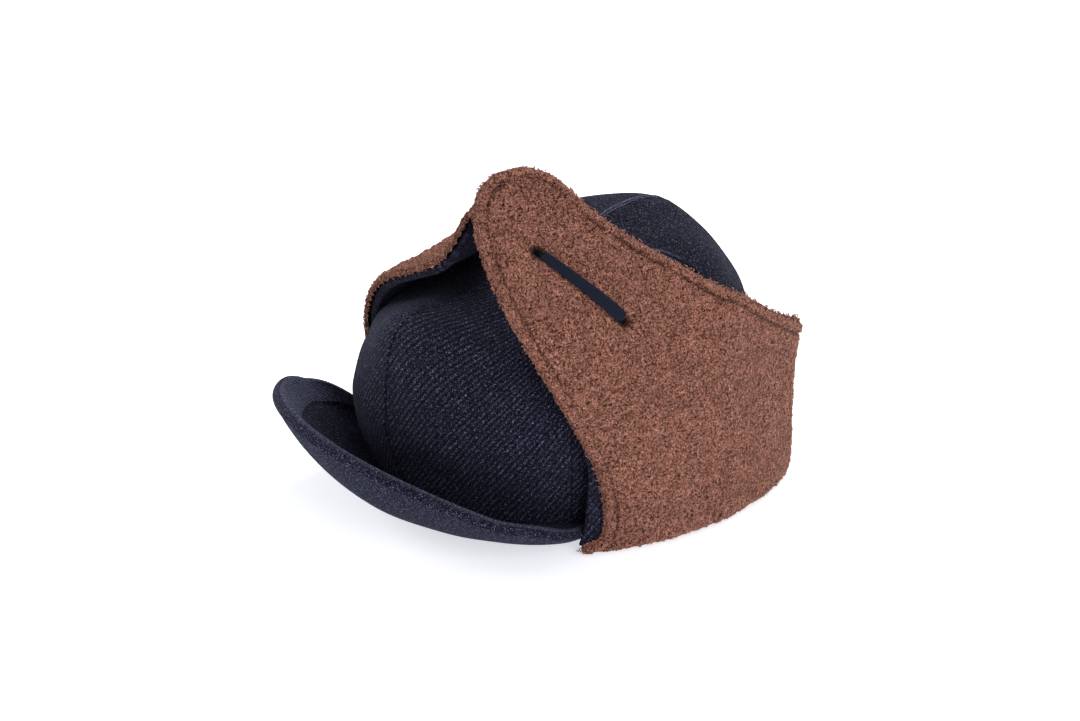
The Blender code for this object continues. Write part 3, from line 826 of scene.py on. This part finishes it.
def grain_material(name, dark, light, scale, detail, rough, bump, **surface):
    """A plain material with a fine grain."""
    n = Nodes(name, **surface)
    grain = n.noise(n.place(), scale, detail, rough)
    return n.finish(n.ramp(grain, [(0.3, dark), (0.7, light)]), [(grain, *bump)])


def thread_material(name, colour):
    """Twisted sewing thread."""
    dark = scaled(colour, 0.55)
    return grain_material(name, dark, colour, 2600, 2, 0.5, (0.5, 0.15 * MM),
                          roughness=0.7, sheen=0.2)


def elastic_material():
    """Blue-black woven elastic with ribs across it."""
    n = Nodes("ribbed_elastic", 0.75)
    weave = n.noise(n.cloth(), 1800, 2)
    height = n.math("ADD", n.math("MULTIPLY", n.pile(), 0.8), n.math("MULTIPLY", weave, 0.3))
    colour = n.ramp(height, [
        (0.30, (0.0002, 0.0004, 0.0020)), (0.60, (0.0022, 0.0040, 0.0130)),
        (0.95, (0.0100, 0.0170, 0.0460)),
    ])
    return n.finish(colour, [(weave, 0.5, 0.2 * MM)])


def lining_material(name, dark, light, ribs_per_metre):
    """A smooth woven cloth with fine ribs."""
    n = Nodes(name, 0.55, sheen=0.2, specular=0.4)
    cloth = n.cloth()
    rib = n.wave(n.add("SeparateXYZ", {"Vector": cloth}).outputs["X"], 1 / ribs_per_metre)
    grain = n.noise(cloth, 1400, 2)
    height = n.math("ADD", n.math("MULTIPLY", rib, 0.6), n.math("MULTIPLY", grain, 0.4))
    colour = n.ramp(height, [(0.25, dark), (0.75, light)])
    return n.finish(colour, [(rib, 0.4, 0.2 * MM), (grain, 0.3, 0.1 * MM)])


fleece_look = fleece_material()
twill_look = wool_material("navy_twill", 0.8)
# The last number is the painted highlight on the crown's seam ridges.
crown_look = wool_material("navy_crown", 1.0, 1.05, 1.15, 0.35)
# Painted shade: the visor's top cover is a darker copy of the crown's wool, for the shade in its
# hollow, with a painted highlight on its border band.
visor_shade_and_highlight_look = wool_material("navy_visor_shade_and_highlight", 1.0, 0.85, 1.0, 0.64)
# Painted light: the back gores get a copy of the crown's wool that is darker, with fainter ribs,
# stronger pale specks and a stronger ridge highlight, set for the light that falls on them from
# behind.
back_painted_light_look = wool_material("navy_nap", 0.45, 0.43, 2.8, 1.2)
felt_look = wool_material("navy_melange", 0.12, 0.96, 1.5)
thread_look = thread_material("navy_thread", (0.020, 0.022, 0.036))
brown_thread_look = thread_material("brown_thread", (0.085, 0.032, 0.022))
elastic_look = elastic_material()
lining_look = lining_material("lining_cloth", (0.014, 0.015, 0.024), (0.034, 0.036, 0.052), 900)
sweatband_look = lining_material("grosgrain", (0.008, 0.009, 0.014), (0.028, 0.030, 0.044), 800)
board_look = grain_material("stiffener_board", (0.44, 0.41, 0.35), (0.60, 0.57, 0.50),
                            700, 4, 0.6, (0.3, 0.2 * MM), roughness=0.55)
steel_look = grain_material("button_steel", (0.42, 0.42, 0.44), (0.60, 0.60, 0.62),
                            2400, 3, 0.6, (0.2, 0.1 * MM), roughness=0.4, metallic=1.0)


# ---- crown

def seam_shape(distance):
    """The relief of a sewn and pressed seam, by the distance from its line."""
    groove = -0.50 * MM * hill(distance, 0.35 * MM)
    welt = 0.35 * MM * hill(distance - 1.2 * MM, 1.0 * MM)
    return groove + welt


def seam_distance(t, radius, shift=0.5):
    """Distance round the crown to the nearest seam. A shift of 0 has seams at gores' middles."""
    return np.abs((t / GORE_TURN + shift) % 1 - 0.5) * GORE_TURN * radius


def crown_relief(t, rise, radius):
    """Seams, soft hollows and the ease gathered into the base, as a distance out."""
    from_seam = seam_distance(t, radius)
    points = crown_surface(t, rise)
    soft = 0.9 * MM * ripple(points, 0.055, SEEDS["crown"])
    soft = soft + 0.35 * MM * ripple(points, 0.022, SEEDS["crown_fine"])
    soft = soft * smooth(0, 12, rise)
    fade = smooth(86, 70, rise)
    pucker = 0.35 * MM * hill(from_seam - 2.5 * MM, 2.5 * MM)
    pucker = pucker * ripple(points, 0.009, SEEDS["pucker"])
    ease = 0.35 * MM * np.sin(t * 130 + 2 * np.sin(t * 17)) * smooth(14, 0, rise)
    seam = seam_shape(from_seam) * np.maximum(fade, 0.25)
    return seam + (soft + pucker) * fade + ease - 0.3 * MM


def build_crown():
    """Six gores, each a closed piece of wool with its edges turned in at the seams."""
    names = ("left_front", "left_side", "left_back", "right_back", "right_side", "right_front")
    rise = np.concatenate([np.linspace(0, 42, 44), np.linspace(42, 60, 22)[1:],
                           np.linspace(60, TOP_HOLE_ANGLE, 26)[1:]])
    share = 0.5 - 0.5 * np.cos(np.linspace(0, math.pi, 61))
    share = 0.5 * share + 0.5 * np.linspace(0, 1, 61)
    rises = np.repeat(rise[:, None], len(share), 1)
    for k, place in enumerate(names):
        centre = (k + 0.5) * GORE_TURN
        middle = crown_surface(np.full(len(rise), centre), rise)
        radius = np.maximum(np.hypot(middle[:, 0], middle[:, 1]), 4 * MM)[:, None]
        margin = 0.12 * MM / radius
        t = k * GORE_TURN + margin + share[None] * (GORE_TURN - 2 * margin)
        outer = crown_offset(t, rises, crown_relief(t, rises, radius))
        inner = crown_offset(t, rises, np.full(t.shape, -GORE_THICKNESS))
        up = np.repeat(running_length(middle)[:, None], len(share), 1)
        cloth = np.stack([(t - centre) * radius, up], -1)
        # Painted highlight along each seam's ridge on the upper crown, where it faces up to the
        # light; the pile attribute carries it.
        painted_highlight = hill(seam_distance(t, radius) - 1.0 * MM, 0.7 * MM) * smooth(46, 62, rises)
        mesh = Mesh()
        mesh.shell(outer, inner, cloth + 0.2 * k, 0.5 + 0.5 * painted_highlight)
        look = back_painted_light_look if "back" in place else crown_look
        add_piece(f"crown_gore_{place}", mesh, look, "crown", "navy_wool", f"crown_panel_{place}")


def build_inside():
    """The lining with its own seams, and the sweatband sewn round the head opening."""
    t = np.linspace(0, 2 * math.pi, 181)[:-1]
    for name, node, look, slot, top, rows, depth, thick in (
        ("lining", "crown_lining", lining_look, "lining_cloth",
         TOP_HOLE_ANGLE, 60, 3.0 * MM, 0.7 * MM),
        ("head_band", "sweatband", sweatband_look, "sweatband_cloth",
         16.5, 16, 4.5 * MM, 1.2 * MM),
    ):
        turn, level = np.meshgrid(t, np.linspace(0.4, top, rows))
        if name == "lining":
            radius = np.hypot(*crown_surface(turn, level)[..., :2].transpose(2, 0, 1))
            gather = 0.25 * MM * np.sin(turn * 48) * smooth(30, 5, level)
            relief = 0.4 * MM * hill(seam_distance(turn, radius, 0.0), 1.2 * MM) + gather
        else:
            relief = -0.25 * MM * hill(level - 14.5, 0.8) - 0.25 * MM * hill(level - 1.6, 0.6)
        cloth = np.stack([turn * 0.085, level / top * 0.12], -1)
        near = crown_offset(turn, level, relief - depth)
        far = crown_offset(turn, level, relief * 0 - depth - thick)
        mesh = Mesh()
        mesh.grid(near, cloth, ring=True)
        mesh.grid(far, cloth, ring=True, flip=True)
        for row in (0, -1):
            rim = np.stack([near[row], far[row]])
            mesh.grid(rim, np.stack([cloth[row]] * 2), ring=True, flip=row == 0)
        add_piece(name, mesh, look, "crown", slot, node)


def build_button():
    """The cloth-covered button over the gores' tips. Its hidden disc only needs a material."""
    low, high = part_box("top_button")
    centre = (np.array(low) + np.array(high)) / 2 - HEAD_CENTRE
    radius = (high.x - low.x) / 2
    seat = high.z - 5.3 * MM
    turn = np.linspace(0, 2 * math.pi, 61)[:-1]
    turns, angles = np.meshgrid(turn, np.linspace(-0.45, math.pi / 2 - 0.02, 26))
    fold = 1 + 0.035 * np.cos(turns * 11) * hill(angles + 0.2, 0.5)
    reach = radius * np.cos(angles) * fold
    height = seat + np.where(angles > 0, 4.5 * MM, 1.6 * MM) * np.sin(angles)
    x, y = centre[0] + reach * np.cos(turns), centre[1] + reach * np.sin(turns)
    mesh = Mesh()
    mesh.grid(np.stack([x, y, height], -1), np.stack([x, y], -1), ring=True)
    add_piece("covered_button", mesh, twill_look, "crown", "navy_wool", "top_button")
    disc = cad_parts["top_button_back"].data
    disc.materials.clear()
    disc.materials.append(steel_look)


# ---- visor

def build_visor():
    """The visor's covers, which meet in a seam just under the rolled rim, and the board inside."""
    count = 150
    s = np.sin(math.pi / 2 * np.linspace(-1, 1, count) * 0.996)
    w = np.concatenate([np.linspace(0.0, 0.86, 46), np.linspace(0.86, 1.0, 16)[1:]])
    grid_s, grid_w = np.meshgrid(s, w)
    safe_s, safe_w = np.clip(grid_s, -0.97, 0.97), np.clip(grid_w, 0.02, 1.0)
    middle = visor_surface(grid_s, grid_w)
    facing = -normals(visor_surface, safe_s, safe_w, 0.01, 0.01)
    rim_s = safe_s[-1]
    outward = unit(visor_surface(rim_s, 0 * s + 1.0) - visor_surface(rim_s, 0 * s + 0.96))
    half = RIM_HALF_THICKNESS * (1 - 0.2 * np.abs(s) ** 6)
    from_rim = (1 - grid_w) * VISOR_WIDTH * (1 - 0.2 * grid_s ** 2)
    soft = 0.25 * MM * ripple(middle, 0.030, SEEDS["visor"])
    on_border = smooth(RIM_BORDER + 0.4 * MM, RIM_BORDER - 0.4 * MM, from_rim)
    groove = 0.7 * MM * hill(from_rim - RIM_BORDER, 0.8 * MM)
    for name, node, sign, look in (
        ("visor_upper_cloth", "visor_top_cover", 1, visor_shade_and_highlight_look),
        ("visor_lower_cloth", "visor_under_cover", -1, felt_look),
    ):
        upper = sign > 0
        relief = soft + 0.4 * MM * on_border - groove if upper else soft
        face = middle + facing * (sign * (half[None] + relief))[..., None]
        seam = sign * RIM_SEAM
        angles = np.linspace(math.pi / 2, seam, 14)[1:, None]
        puff = half * (1.0 + 0.10 * np.sin(angles) ** 2)
        puff = puff - 0.55 * MM * hill((angles - seam) * half, 0.5 * MM)
        bend = facing[-1][None] * sign * np.sin(angles)[..., None]
        bend = bend + outward[None] * np.cos(angles)[..., None]
        roll = middle[-1][None] + bend * puff[..., None]
        tuck = np.stack([0 * s, 2.5 * MM * np.cos(0.6 * s), 0 * s + 4 * MM * upper], -1)
        points = np.concatenate([face[:1] + tuck[None], face, roll])
        cloth = np.stack(np.meshgrid(s * 0.11, running_length(points[:, count // 2])), -1)
        # The border band's pile lights it through the top cover's material: a painted highlight
        # against the painted shade of the hollow.
        border = np.concatenate([0 * on_border[:1], on_border, np.ones(roll.shape[:2])])
        mesh = Mesh()
        mesh.grid(points, cloth + 2.0, 0.5 + 0.5 * border, flip=not upper)
        add_piece(name, mesh, look, "crown", "navy_wool", node)
        if upper:
            row = np.argmin(np.abs(from_rim[:, count // 2] - RIM_BORDER))
            mesh = Mesh()
            stitches(mesh, face[row, 4:-4], facing[row, 4:-4], *VISOR_STITCH)
            add_piece("visor_topstitch", mesh, thread_look, "crown", "tack_thread")
    centre = visor_surface(*np.meshgrid(s[3:-3], w[2:-4]))
    up = facing[2:-4, 3:-3] * 0.6 * MM
    mesh = Mesh()
    mesh.shell(centre - up, centre + up, centre[..., :2])
    add_piece("visor_stiffener", mesh, board_look, "crown", "visor_board", "visor_board")


# ---- fleece and wool of the band

def fleece_relief(s, height, side, ear):
    """The fleece's outer face: how far out it lies, and how high its pile stands, from 0 to 1. The
    pile is lowered in the stitch groove and the elastic's holes, which paints shade there.
    """
    from_edge = edge_distance(s, height)
    knots = nubs(s, height, NUB_PITCH, SEEDS["knots"])
    small = nubs(s + 0.5, height, 0.62 * NUB_PITCH, SEEDS["small_knots"])
    clumps = patches(s, height, 5.5 * MM, SEEDS["clumps"])
    clumps = clumps + 0.6 * patches(s, height, 2.6 * MM, SEEDS["fine_clumps"])
    pile = 0.66 * knots + 0.34 * small
    edge = np.clip(from_edge / FLEECE_EDGE, 0, 1)
    body = EDGE_SEAM + (FLEECE_FACE - EDGE_SEAM) * np.sqrt(1 - (1 - edge) ** 2)
    depth = 0.55 + 0.35 * patches(s, height, 7 * MM, SEEDS["groove"])
    depth = depth + 0.3 * smooth(-0.030, 0.020, s)
    groove = hill(from_edge - STITCH_INSET, 0.9 * MM) * np.clip(depth, 0.1, 1)
    ridge = 0.35 * MM * hill(from_edge - 2.6 * MM, 1.5 * MM)
    rough = 0.12 + 0.88 * smooth(0, 3.4 * MM, from_edge)
    out = body + ridge + rough * (NUB_HEIGHT * (pile - 0.35) + 0.28 * MM * clumps)
    out = out - 1.5 * MM * groove
    # Painted shade: a lower pile darkens the fleece in the stitch groove.
    pile = pile * (1 - 0.65 * groove)
    if ear:
        from_strip = segment_distance(s, height, *ELASTIC[side])
        out = out - 0.9 * MM * hill(from_strip, 2.6 * MM)
        for spot in ELASTIC[side]:
            away = np.hypot(s - spot[0], height - spot[1])
            hole = hill(away, 2.6 * MM)
            out = out - 3.4 * MM * hole + 0.35 * MM * hill(away - 4.6 * MM, 1.3 * MM)
            # Painted shade: the pile drops in and round each hole, so the hole is coloured dark.
            pile = pile * (1 - 0.95 * hole) - 0.5 * hole
    return out, pile


def loops(mesh, surface, side, s, height, out, size, seed):
    """Small loops of yarn that stand on the fleece."""
    rng = np.random.default_rng(seed)
    base, facing = lifted_facing(surface, side, s, height, out)
    way = unit(np.cross(facing, rng.normal(size=facing.shape)))
    aside = np.cross(facing, way)
    lean = rng.uniform(-0.55, 0.55, len(s))[:, None]
    up = unit(facing + aside * lean)
    angle = np.linspace(-0.12 * math.pi, 1.12 * math.pi, 6)[None, :, None]
    radius = (size * rng.uniform(0.6, 1.4, len(s)))[:, None, None]
    centres = (base[:, None] + up[:, None] * radius * np.sin(angle) * 1.05
               + way[:, None] * radius * np.cos(angle)
               + aside[:, None] * radius * 0.5 * (angle / math.pi - 0.5))
    radial = unit(up[:, None] * np.sin(angle) + way[:, None] * np.cos(angle))
    across = np.broadcast_to(aside[:, None], centres.shape)
    thick = size * 0.42 * rng.uniform(0.8, 1.2, len(s))[:, None]
    tall = rng.uniform(0.6, 1.2, len(s))[:, None]
    # Painted highlight and shade: each loop's pile, and so its colour, is high at its top and low
    # at its feet.
    pile = np.clip(0.45 + 0.5 * np.sin(angle[..., 0]) * tall, 0, 1)
    mesh.tubes(centres, across, radial, thick, 3, pile)


def inside_ear(s, height):
    """Whether flat pattern points lie on the ear."""
    polygon = np.concatenate([OUTLINE[FOOT_POINTS:BEHIND_START + 1], [(EAR_REAR_Y, 0.0)]])
    inside = np.zeros(len(s), bool)
    x1, y1 = polygon.T
    x2, y2 = np.roll(polygon, -1, 0).T
    for k in range(len(polygon)):
        if y1[k] != y2[k]:
            crosses = (y1[k] > height) != (y2[k] > height)
            edge_s = (x2[k] - x1[k]) * (height - y1[k]) / (y2[k] - y1[k]) + x1[k]
            inside ^= crosses & (s < edge_s)
    return inside


def scatter(low, high, pitch, seed):
    """Jittered points over a box of the flat pattern."""
    across, up = np.meshgrid(np.arange(low[0], high[0], pitch), np.arange(low[1], high[1], pitch))
    rng = np.random.default_rng(seed)
    return (across.ravel() + rng.uniform(0, pitch, across.size),
            up.ravel() + rng.uniform(0, pitch, across.size))


def edge_loops(first, last, pitch, seed):
    """Points close along a stretch of the cut edge, given as lengths of the flat outline."""
    rng = np.random.default_rng(seed)
    spots = np.arange(first, last, pitch)
    spots = spots + rng.uniform(-pitch, pitch, len(spots)) / 2
    point = along_line(spots, OUTLINE_LENGTH, OUTLINE)
    way = unit(along_line(spots + 1 * MM, OUTLINE_LENGTH, OUTLINE) - point)
    inward = np.stack([way[:, 1], -way[:, 0]], -1)
    depth = rng.uniform(-0.7 * MM, 1.7 * MM, len(spots))
    return (point + inward * depth[:, None]).T


def front_lap(height):
    """How far the wool shows in front of the fleece's edge: most at the foot."""
    lap = 8.2 * MM * smooth(0.058, 0.012, height) - 1.6 * MM * smooth(0.050, 0.064, height)
    return lap - foot_reach(height)


def zone_nodes(side, zone, cloth):
    """The CAD nodes that one layer of a zone stands for."""
    parts = ("ear", "tongue") if zone == "ear" else (zone,)
    return [f"{side}_{part}_{cloth}" for part in parts]


def build_boucle(side, zone, first, last):
    """The fleece's knotted face in one zone of the band."""
    ear = zone == "ear"
    if ear:
        s, height = ear_grid(FLEECE_STEP, FOOT_UNDER)
    else:
        s, height = band_grid(first, last, FLEECE_STEP, FOOT_UNDER)
    out, pile = fleece_relief(s, height, side, ear)
    points = lifted(zone_surface(side, zone), side, s, height, out)
    mesh = Mesh()
    mesh.grid(points, np.stack([s, height], -1), pile, flip=side == "right")
    piece = add_piece(f"{side}_{zone}_boucle", mesh, fleece_look, f"{side}_{zone}", "brown_fleece",
                      *zone_nodes(side, zone, "fleece"))


def build_loops(side, zone, first, last):
    """Loops of yarn over one zone's fleece, and close together along its cut edge."""
    ear = zone == "ear"
    surface = zone_surface(side, zone)
    seed = 100 + 10 * len(zone) + (side == "right")
    if ear:
        s, height = scatter((-0.080, 0.0), (EAR_REAR_Y, 0.190), LOOP_PITCH, seed)
        keep = inside_ear(s, height)
        stretch = (0.010, OUTLINE_LENGTH[BEHIND_START])
    else:
        s, height = scatter((first, 0.0), (last, 0.108), LOOP_PITCH, seed)
        keep = (height < band_height(s)) & (s < last)
        stretch = np.interp((first, last), OUTLINE[BEHIND_START + 1:, 0],
                            OUTLINE_LENGTH[BEHIND_START + 1:])
    s, height = s[keep], height[keep]
    clear = np.abs(edge_distance(s, height) - STITCH_INSET) > 0.5 * MM
    if ear:
        clear &= segment_distance(s, height, *ELASTIC[side]) > ELASTIC_CLEAR
    level, _ = fleece_relief(s, height, side, ear)
    mesh = Mesh()
    loops(mesh, surface, side, s[clear], height[clear], level[clear] - 0.25 * MM,
          LOOP_SIZE, seed + 1)
    s, height = edge_loops(*stretch, EDGE_LOOP_PITCH, seed + 2)
    level, _ = fleece_relief(s, height, side, ear)
    loops(mesh, surface, side, s, height, level - 0.1 * MM, EDGE_LOOP_SIZE, seed + 3)
    add_piece(f"{side}_{zone}_loops", mesh, fleece_look, f"{side}_{zone}", "brown_fleece")


def wool_from_edge(zone, s, height):
    """Distance from the wool's cut edge, which runs on past the fleece's at the ear's front."""
    free = np.maximum(edge_distance(s, height) - WOOL_INSET, 0)
    if zone != "ear":
        return free
    front = OUTLINE[FOOT_POINTS:FOOT_POINTS + WALL_POINTS]
    ahead = np.interp(height, front[:, 1], front[:, 0]) - s
    at_front = (height < EAR_REAR_HEIGHT) & (s < -0.03)
    past = np.minimum(np.where(at_front, front_lap(height) - ahead, 1.0), 1.0)
    low = np.where(ahead > -2 * MM, past, free)
    return np.where(height > 0.070, free, low)


def build_facing(side, zone, first, last):
    """The wool on the crown's side of one zone, with a rounded cut edge."""
    ear = zone == "ear"
    surface = zone_surface(side, zone)
    if ear:
        s, height = ear_grid(WOOL_STEP, None, front_lap)
    else:
        s, height = band_grid(first, last, WOOL_STEP, None, WOOL_INSET)
    edge = np.clip(wool_from_edge(zone, s, height) / WOOL_EDGE, 0, 1)
    round_edge = np.sqrt(1 - (1 - edge) ** 2)
    inner_face = -BAND_MID + 0.15 * MM * patches(s, height, 9 * MM, SEEDS["wool"])
    inner = EDGE_SEAM + (inner_face - EDGE_SEAM) * round_edge
    outer = EDGE_SEAM + 0.9 * MM * round_edge
    if ear:
        lap = smooth(-0.043, -0.047, s)
        height = height - 0.8 * MM * lap * smooth(0.014, FOLD_Z, height)
        inner = inner - 0.4 * MM * hill(s + 0.047, 0.8 * MM) * smooth(0.060, 0.040, height)
    mesh = Mesh()
    mesh.shell(lifted(surface, side, s, height, outer, False),
               lifted(surface, side, s, height, inner, False),
               np.stack([s, height], -1) + 4.0, flip=side == "right")
    add_piece(f"{side}_{zone}_facing", mesh, twill_look, f"{side}_{zone}", "navy_wool",
              *zone_nodes(side, zone, "wool"))


def build_topstitch(side):
    """The row of stitches sunk in the fleece, inside the band's cut edge."""
    way = unit(np.gradient(OUTLINE, axis=0))
    inward = np.stack([way[:, 1], -way[:, 0]], -1)
    line = OUTLINE + inward * STITCH_INSET
    true_inset = edge_distance(line[:, 0], line[:, 1])
    line = line[(true_inset > STITCH_INSET - 0.25 * MM) & (line[:, 1] > 3 * MM)]
    for zone, first, last in ZONES:
        part = line[((line[:, 0] > first) | (zone == "ear")) & (line[:, 0] <= last)]
        out = np.full(len(part), FLEECE_FACE - 1.25 * MM)
        points, facing = lifted_facing(zone_surface(side, zone), side, *part.T, out)
        mesh = Mesh()
        stitches(mesh, points, facing, *BAND_STITCH)
        add_piece(f"{side}_{zone}_topstitch", mesh, brown_thread_look, f"{side}_{zone}",
                  "tack_thread")


def build_elastic(side):
    """The ribbed elastic on the fleece. Its ends dive into their holes to the tacks behind."""
    surface = ear_surface(side)
    top, bottom = ELASTIC[side]
    length = np.linalg.norm(bottom - top)
    way = (bottom - top) / length
    aside = np.array((way[1], -way[0]))
    along = np.linspace(-0.6 * MM, length + 0.6 * MM, 300)
    share = np.clip(along / length, 0, 1)
    width = (4.4 + 1.9 * share) * MM / 2
    width = width * (1 - 0.6 * hill(along, 1.8 * MM) - 0.75 * hill(along - length, 2.6 * MM))
    rib = 0.5 + 0.5 * np.sin(along * 2 * math.pi / (0.95 * MM))
    dive = 5.4 * MM * (hill(along, 1.3 * MM) + hill(along - length, 1.3 * MM))
    lift = BAND_MID + 0.75 * MM + 0.5 * MM * np.sin(math.pi * share) - dive
    turn = np.linspace(0, 2 * math.pi, 16, endpoint=False)
    section_x = np.sign(np.cos(turn)) * np.abs(np.cos(turn)) ** 0.6
    across = section_x[None] * (width * (1 + 0.05 * rib))[:, None]
    outward = lift[:, None] + np.sin(turn)[None] * (0.62 * MM + 0.16 * MM * rib[:, None])
    spot = top + along[:, None, None] * way + across[..., None] * aside
    points = lifted(surface, side, spot[..., 0], spot[..., 1], outward)
    cloth = np.stack([along[:, None] + 0 * across, across], -1)
    pile = np.repeat(rib[:, None], len(turn), 1)
    mesh = Mesh()
    mesh.grid(points, cloth, pile, ring=True, flip=side == "left")
    add_piece(f"{side}_elastic_loop", mesh, elastic_look, f"{side}_tongue", "elastic_cloth",
              f"{side}_elastic")
    for place, spot in (("top", top), ("bottom", bottom)):
        mesh = Mesh()
        for k in range(11):
            start = spot + way * (k - 5) * 0.65 * MM - aside * 2.8 * MM
            row = start + aside * np.linspace(0, 5.6 * MM, 12)[:, None]
            inside = np.full(len(row), -BAND_MID - 0.35 * MM)
            line, up = lifted_facing(surface, side, *row.T, inside, -1 * MM)
            stitches(mesh, line, up, *TACK_STITCH)
        add_piece(f"{side}_bar_tack_{place}", mesh, thread_look, f"{side}_tongue", "tack_thread",
                  f"{side}_elastic_tack_{place}")


def build_turn(side, zone, first, last):
    """The fleece that rolls under the fold, from the band up to the crown's lower edge."""
    surface = zone_surface(side, zone)
    s = np.linspace(first, last, round((last - first) / TURN_STEP) + 1)
    grid_s, angles = np.meshgrid(s, np.radians(np.linspace(100, 180, 12)))
    pile = 0.66 * nubs(grid_s, angles * FOLD_Z, NUB_PITCH, SEEDS["knots"]) + 0.2
    radius = TURN_RADIUS + 0.45 * MM * pile
    fold = np.full(grid_s.shape, FOLD_Z)
    facing = cloth_normals(surface, side, grid_s, fold)
    way = facing * np.cos(angles)[..., None] + DOWN * np.sin(angles)[..., None]
    roll = surface(grid_s, fold) + way * radius[..., None]
    hidden = np.maximum(s, TURN_FRONT) if zone == "ear" else s
    inward = radius[-1][:, None] * cloth_normals(surface, side, hidden, fold[0])
    end = surface(hidden, fold[0]) - inward
    turn = np.arctan2(end[:, 0] / CROWN_HALF_WIDTH, -end[:, 1] / CROWN_HALF_LENGTH)
    root = crown_offset(turn, 0 * turn, np.full(len(turn), -CROWN_UNDER))
    share = np.linspace(0, 1, 10)[1:, None, None]
    bridge = end[None] * (1 - share) + root[None] * share
    bridge[..., 2] -= (1.2 * MM * np.sin(math.pi * share))[..., 0]
    points = np.concatenate([roll, bridge])
    bridge_s = np.repeat(s[None], len(bridge), 0)
    bridge_knots = nubs(bridge_s, 0.02 + share[..., 0] * 0.01, NUB_PITCH, SEEDS["knots"])
    piles = np.concatenate([pile, 0.35 + 0.4 * bridge_knots])
    cloth = np.stack(np.meshgrid(s, np.linspace(0, 0.02, len(points))), -1)
    mesh = Mesh()
    mesh.grid(points, cloth, piles, flip=side == "left")
    piece = make_piece(f"{side}_{zone}_turn", mesh, fleece_look)
    middle = len(s) // 2
    start = Vector(root[middle] + HEAD_CENTRE)
    finish = Vector(roll[3, middle] + HEAD_CENTRE)
    start.z = finish.z = 0.004
    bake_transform(piece)


# ---- studio

CAMERA_AZIMUTH = math.radians(52)
CAMERA_ELEVATION = math.radians(22.5)
AIM_LEFT = 8.56 * MM
AIM_UP = 52.3 * MM
VIEW_WIDTH = 0.500


def set_up(name, data, place, way):
    """A light or a camera at place that looks along way."""
    thing = new_object(name, data)
    thing.location = place
    thing.rotation_mode = "QUATERNION"
    thing.rotation_quaternion = way.to_track_quat("-Z", "Y")
    return thing


def build_studio():
    """A plain pale floor and soft light."""
    data = bpy.data.meshes.new("floor")
    data.from_pydata([(-3, -3, 0), (3, -3, 0), (3, 3, 0), (-3, 3, 0)], [], [(0, 1, 2, 3)])
    floor = new_object("floor", data)
    floor.location.z = -0.2 * MM
    paper = bpy.data.materials.new("paper")
    paper.use_nodes = True
    set_inputs(paper.node_tree.nodes["Principled BSDF"], {
        "Base Color": (0.80, 0.80, 0.80, 1), "Roughness": 0.9, "Specular IOR Level": 0.0,
        "Emission Color": (0.93, 0.95, 1.0, 1), "Emission Strength": 0.65,
    })
    data.materials.append(paper)
    world = bpy.data.worlds.new("studio")
    bpy.context.scene.world = world
    world.use_nodes = True
    set_inputs(world.node_tree.nodes["Background"], {
        "Color": (0.97, 0.985, 1.0, 1), "Strength": 0.45,
    })
    for name, place, size, power in (
        ("key", (-0.55, 1.15, 1.7), 1.3, 36.5),
        ("fill", (1.9, -0.4, 0.9), 1.2, 18.5),
        ("front", (-1.7, -0.8, 0.75), 1.0, 18.0),
    ):
        light = bpy.data.lights.new(name, "AREA")
        light.shape = "DISK"
        light.size = size
        light.energy = power
        set_up(name, light, Vector(place), Vector((0, 0, 0.05)) - Vector(place))
    bpy.context.scene.view_settings.view_transform = "Standard"


def build_camera():
    """The camera stands off the wearer's front left and looks down on the hat."""
    across, along = math.sin(CAMERA_AZIMUTH), math.cos(CAMERA_AZIMUTH)
    level = math.cos(CAMERA_ELEVATION)
    back = Vector((across * level, -along * level, math.sin(CAMERA_ELEVATION)))
    right = Vector((along, across, 0))
    up = back.cross(right)
    aim = Vector(HEAD_CENTRE) - AIM_LEFT * right + AIM_UP * up
    data = bpy.data.cameras.new("camera")
    data.sensor_width = 36
    data.lens = 300
    data.clip_end = 50
    place = aim + back * (VIEW_WIDTH * data.lens / data.sensor_width)
    bpy.context.scene.camera = set_up("camera", data, place, -back)


build_camera()
build_studio()
build_crown()
build_inside()
build_button()
build_visor()
for side in MIRROR:
    for zone, first, last in ZONES:
        build_boucle(side, zone, first, last)
        build_loops(side, zone, first, last)
        build_facing(side, zone, first, last)
        build_turn(side, zone, first, last)
    build_topstitch(side)
    build_elastic(side)
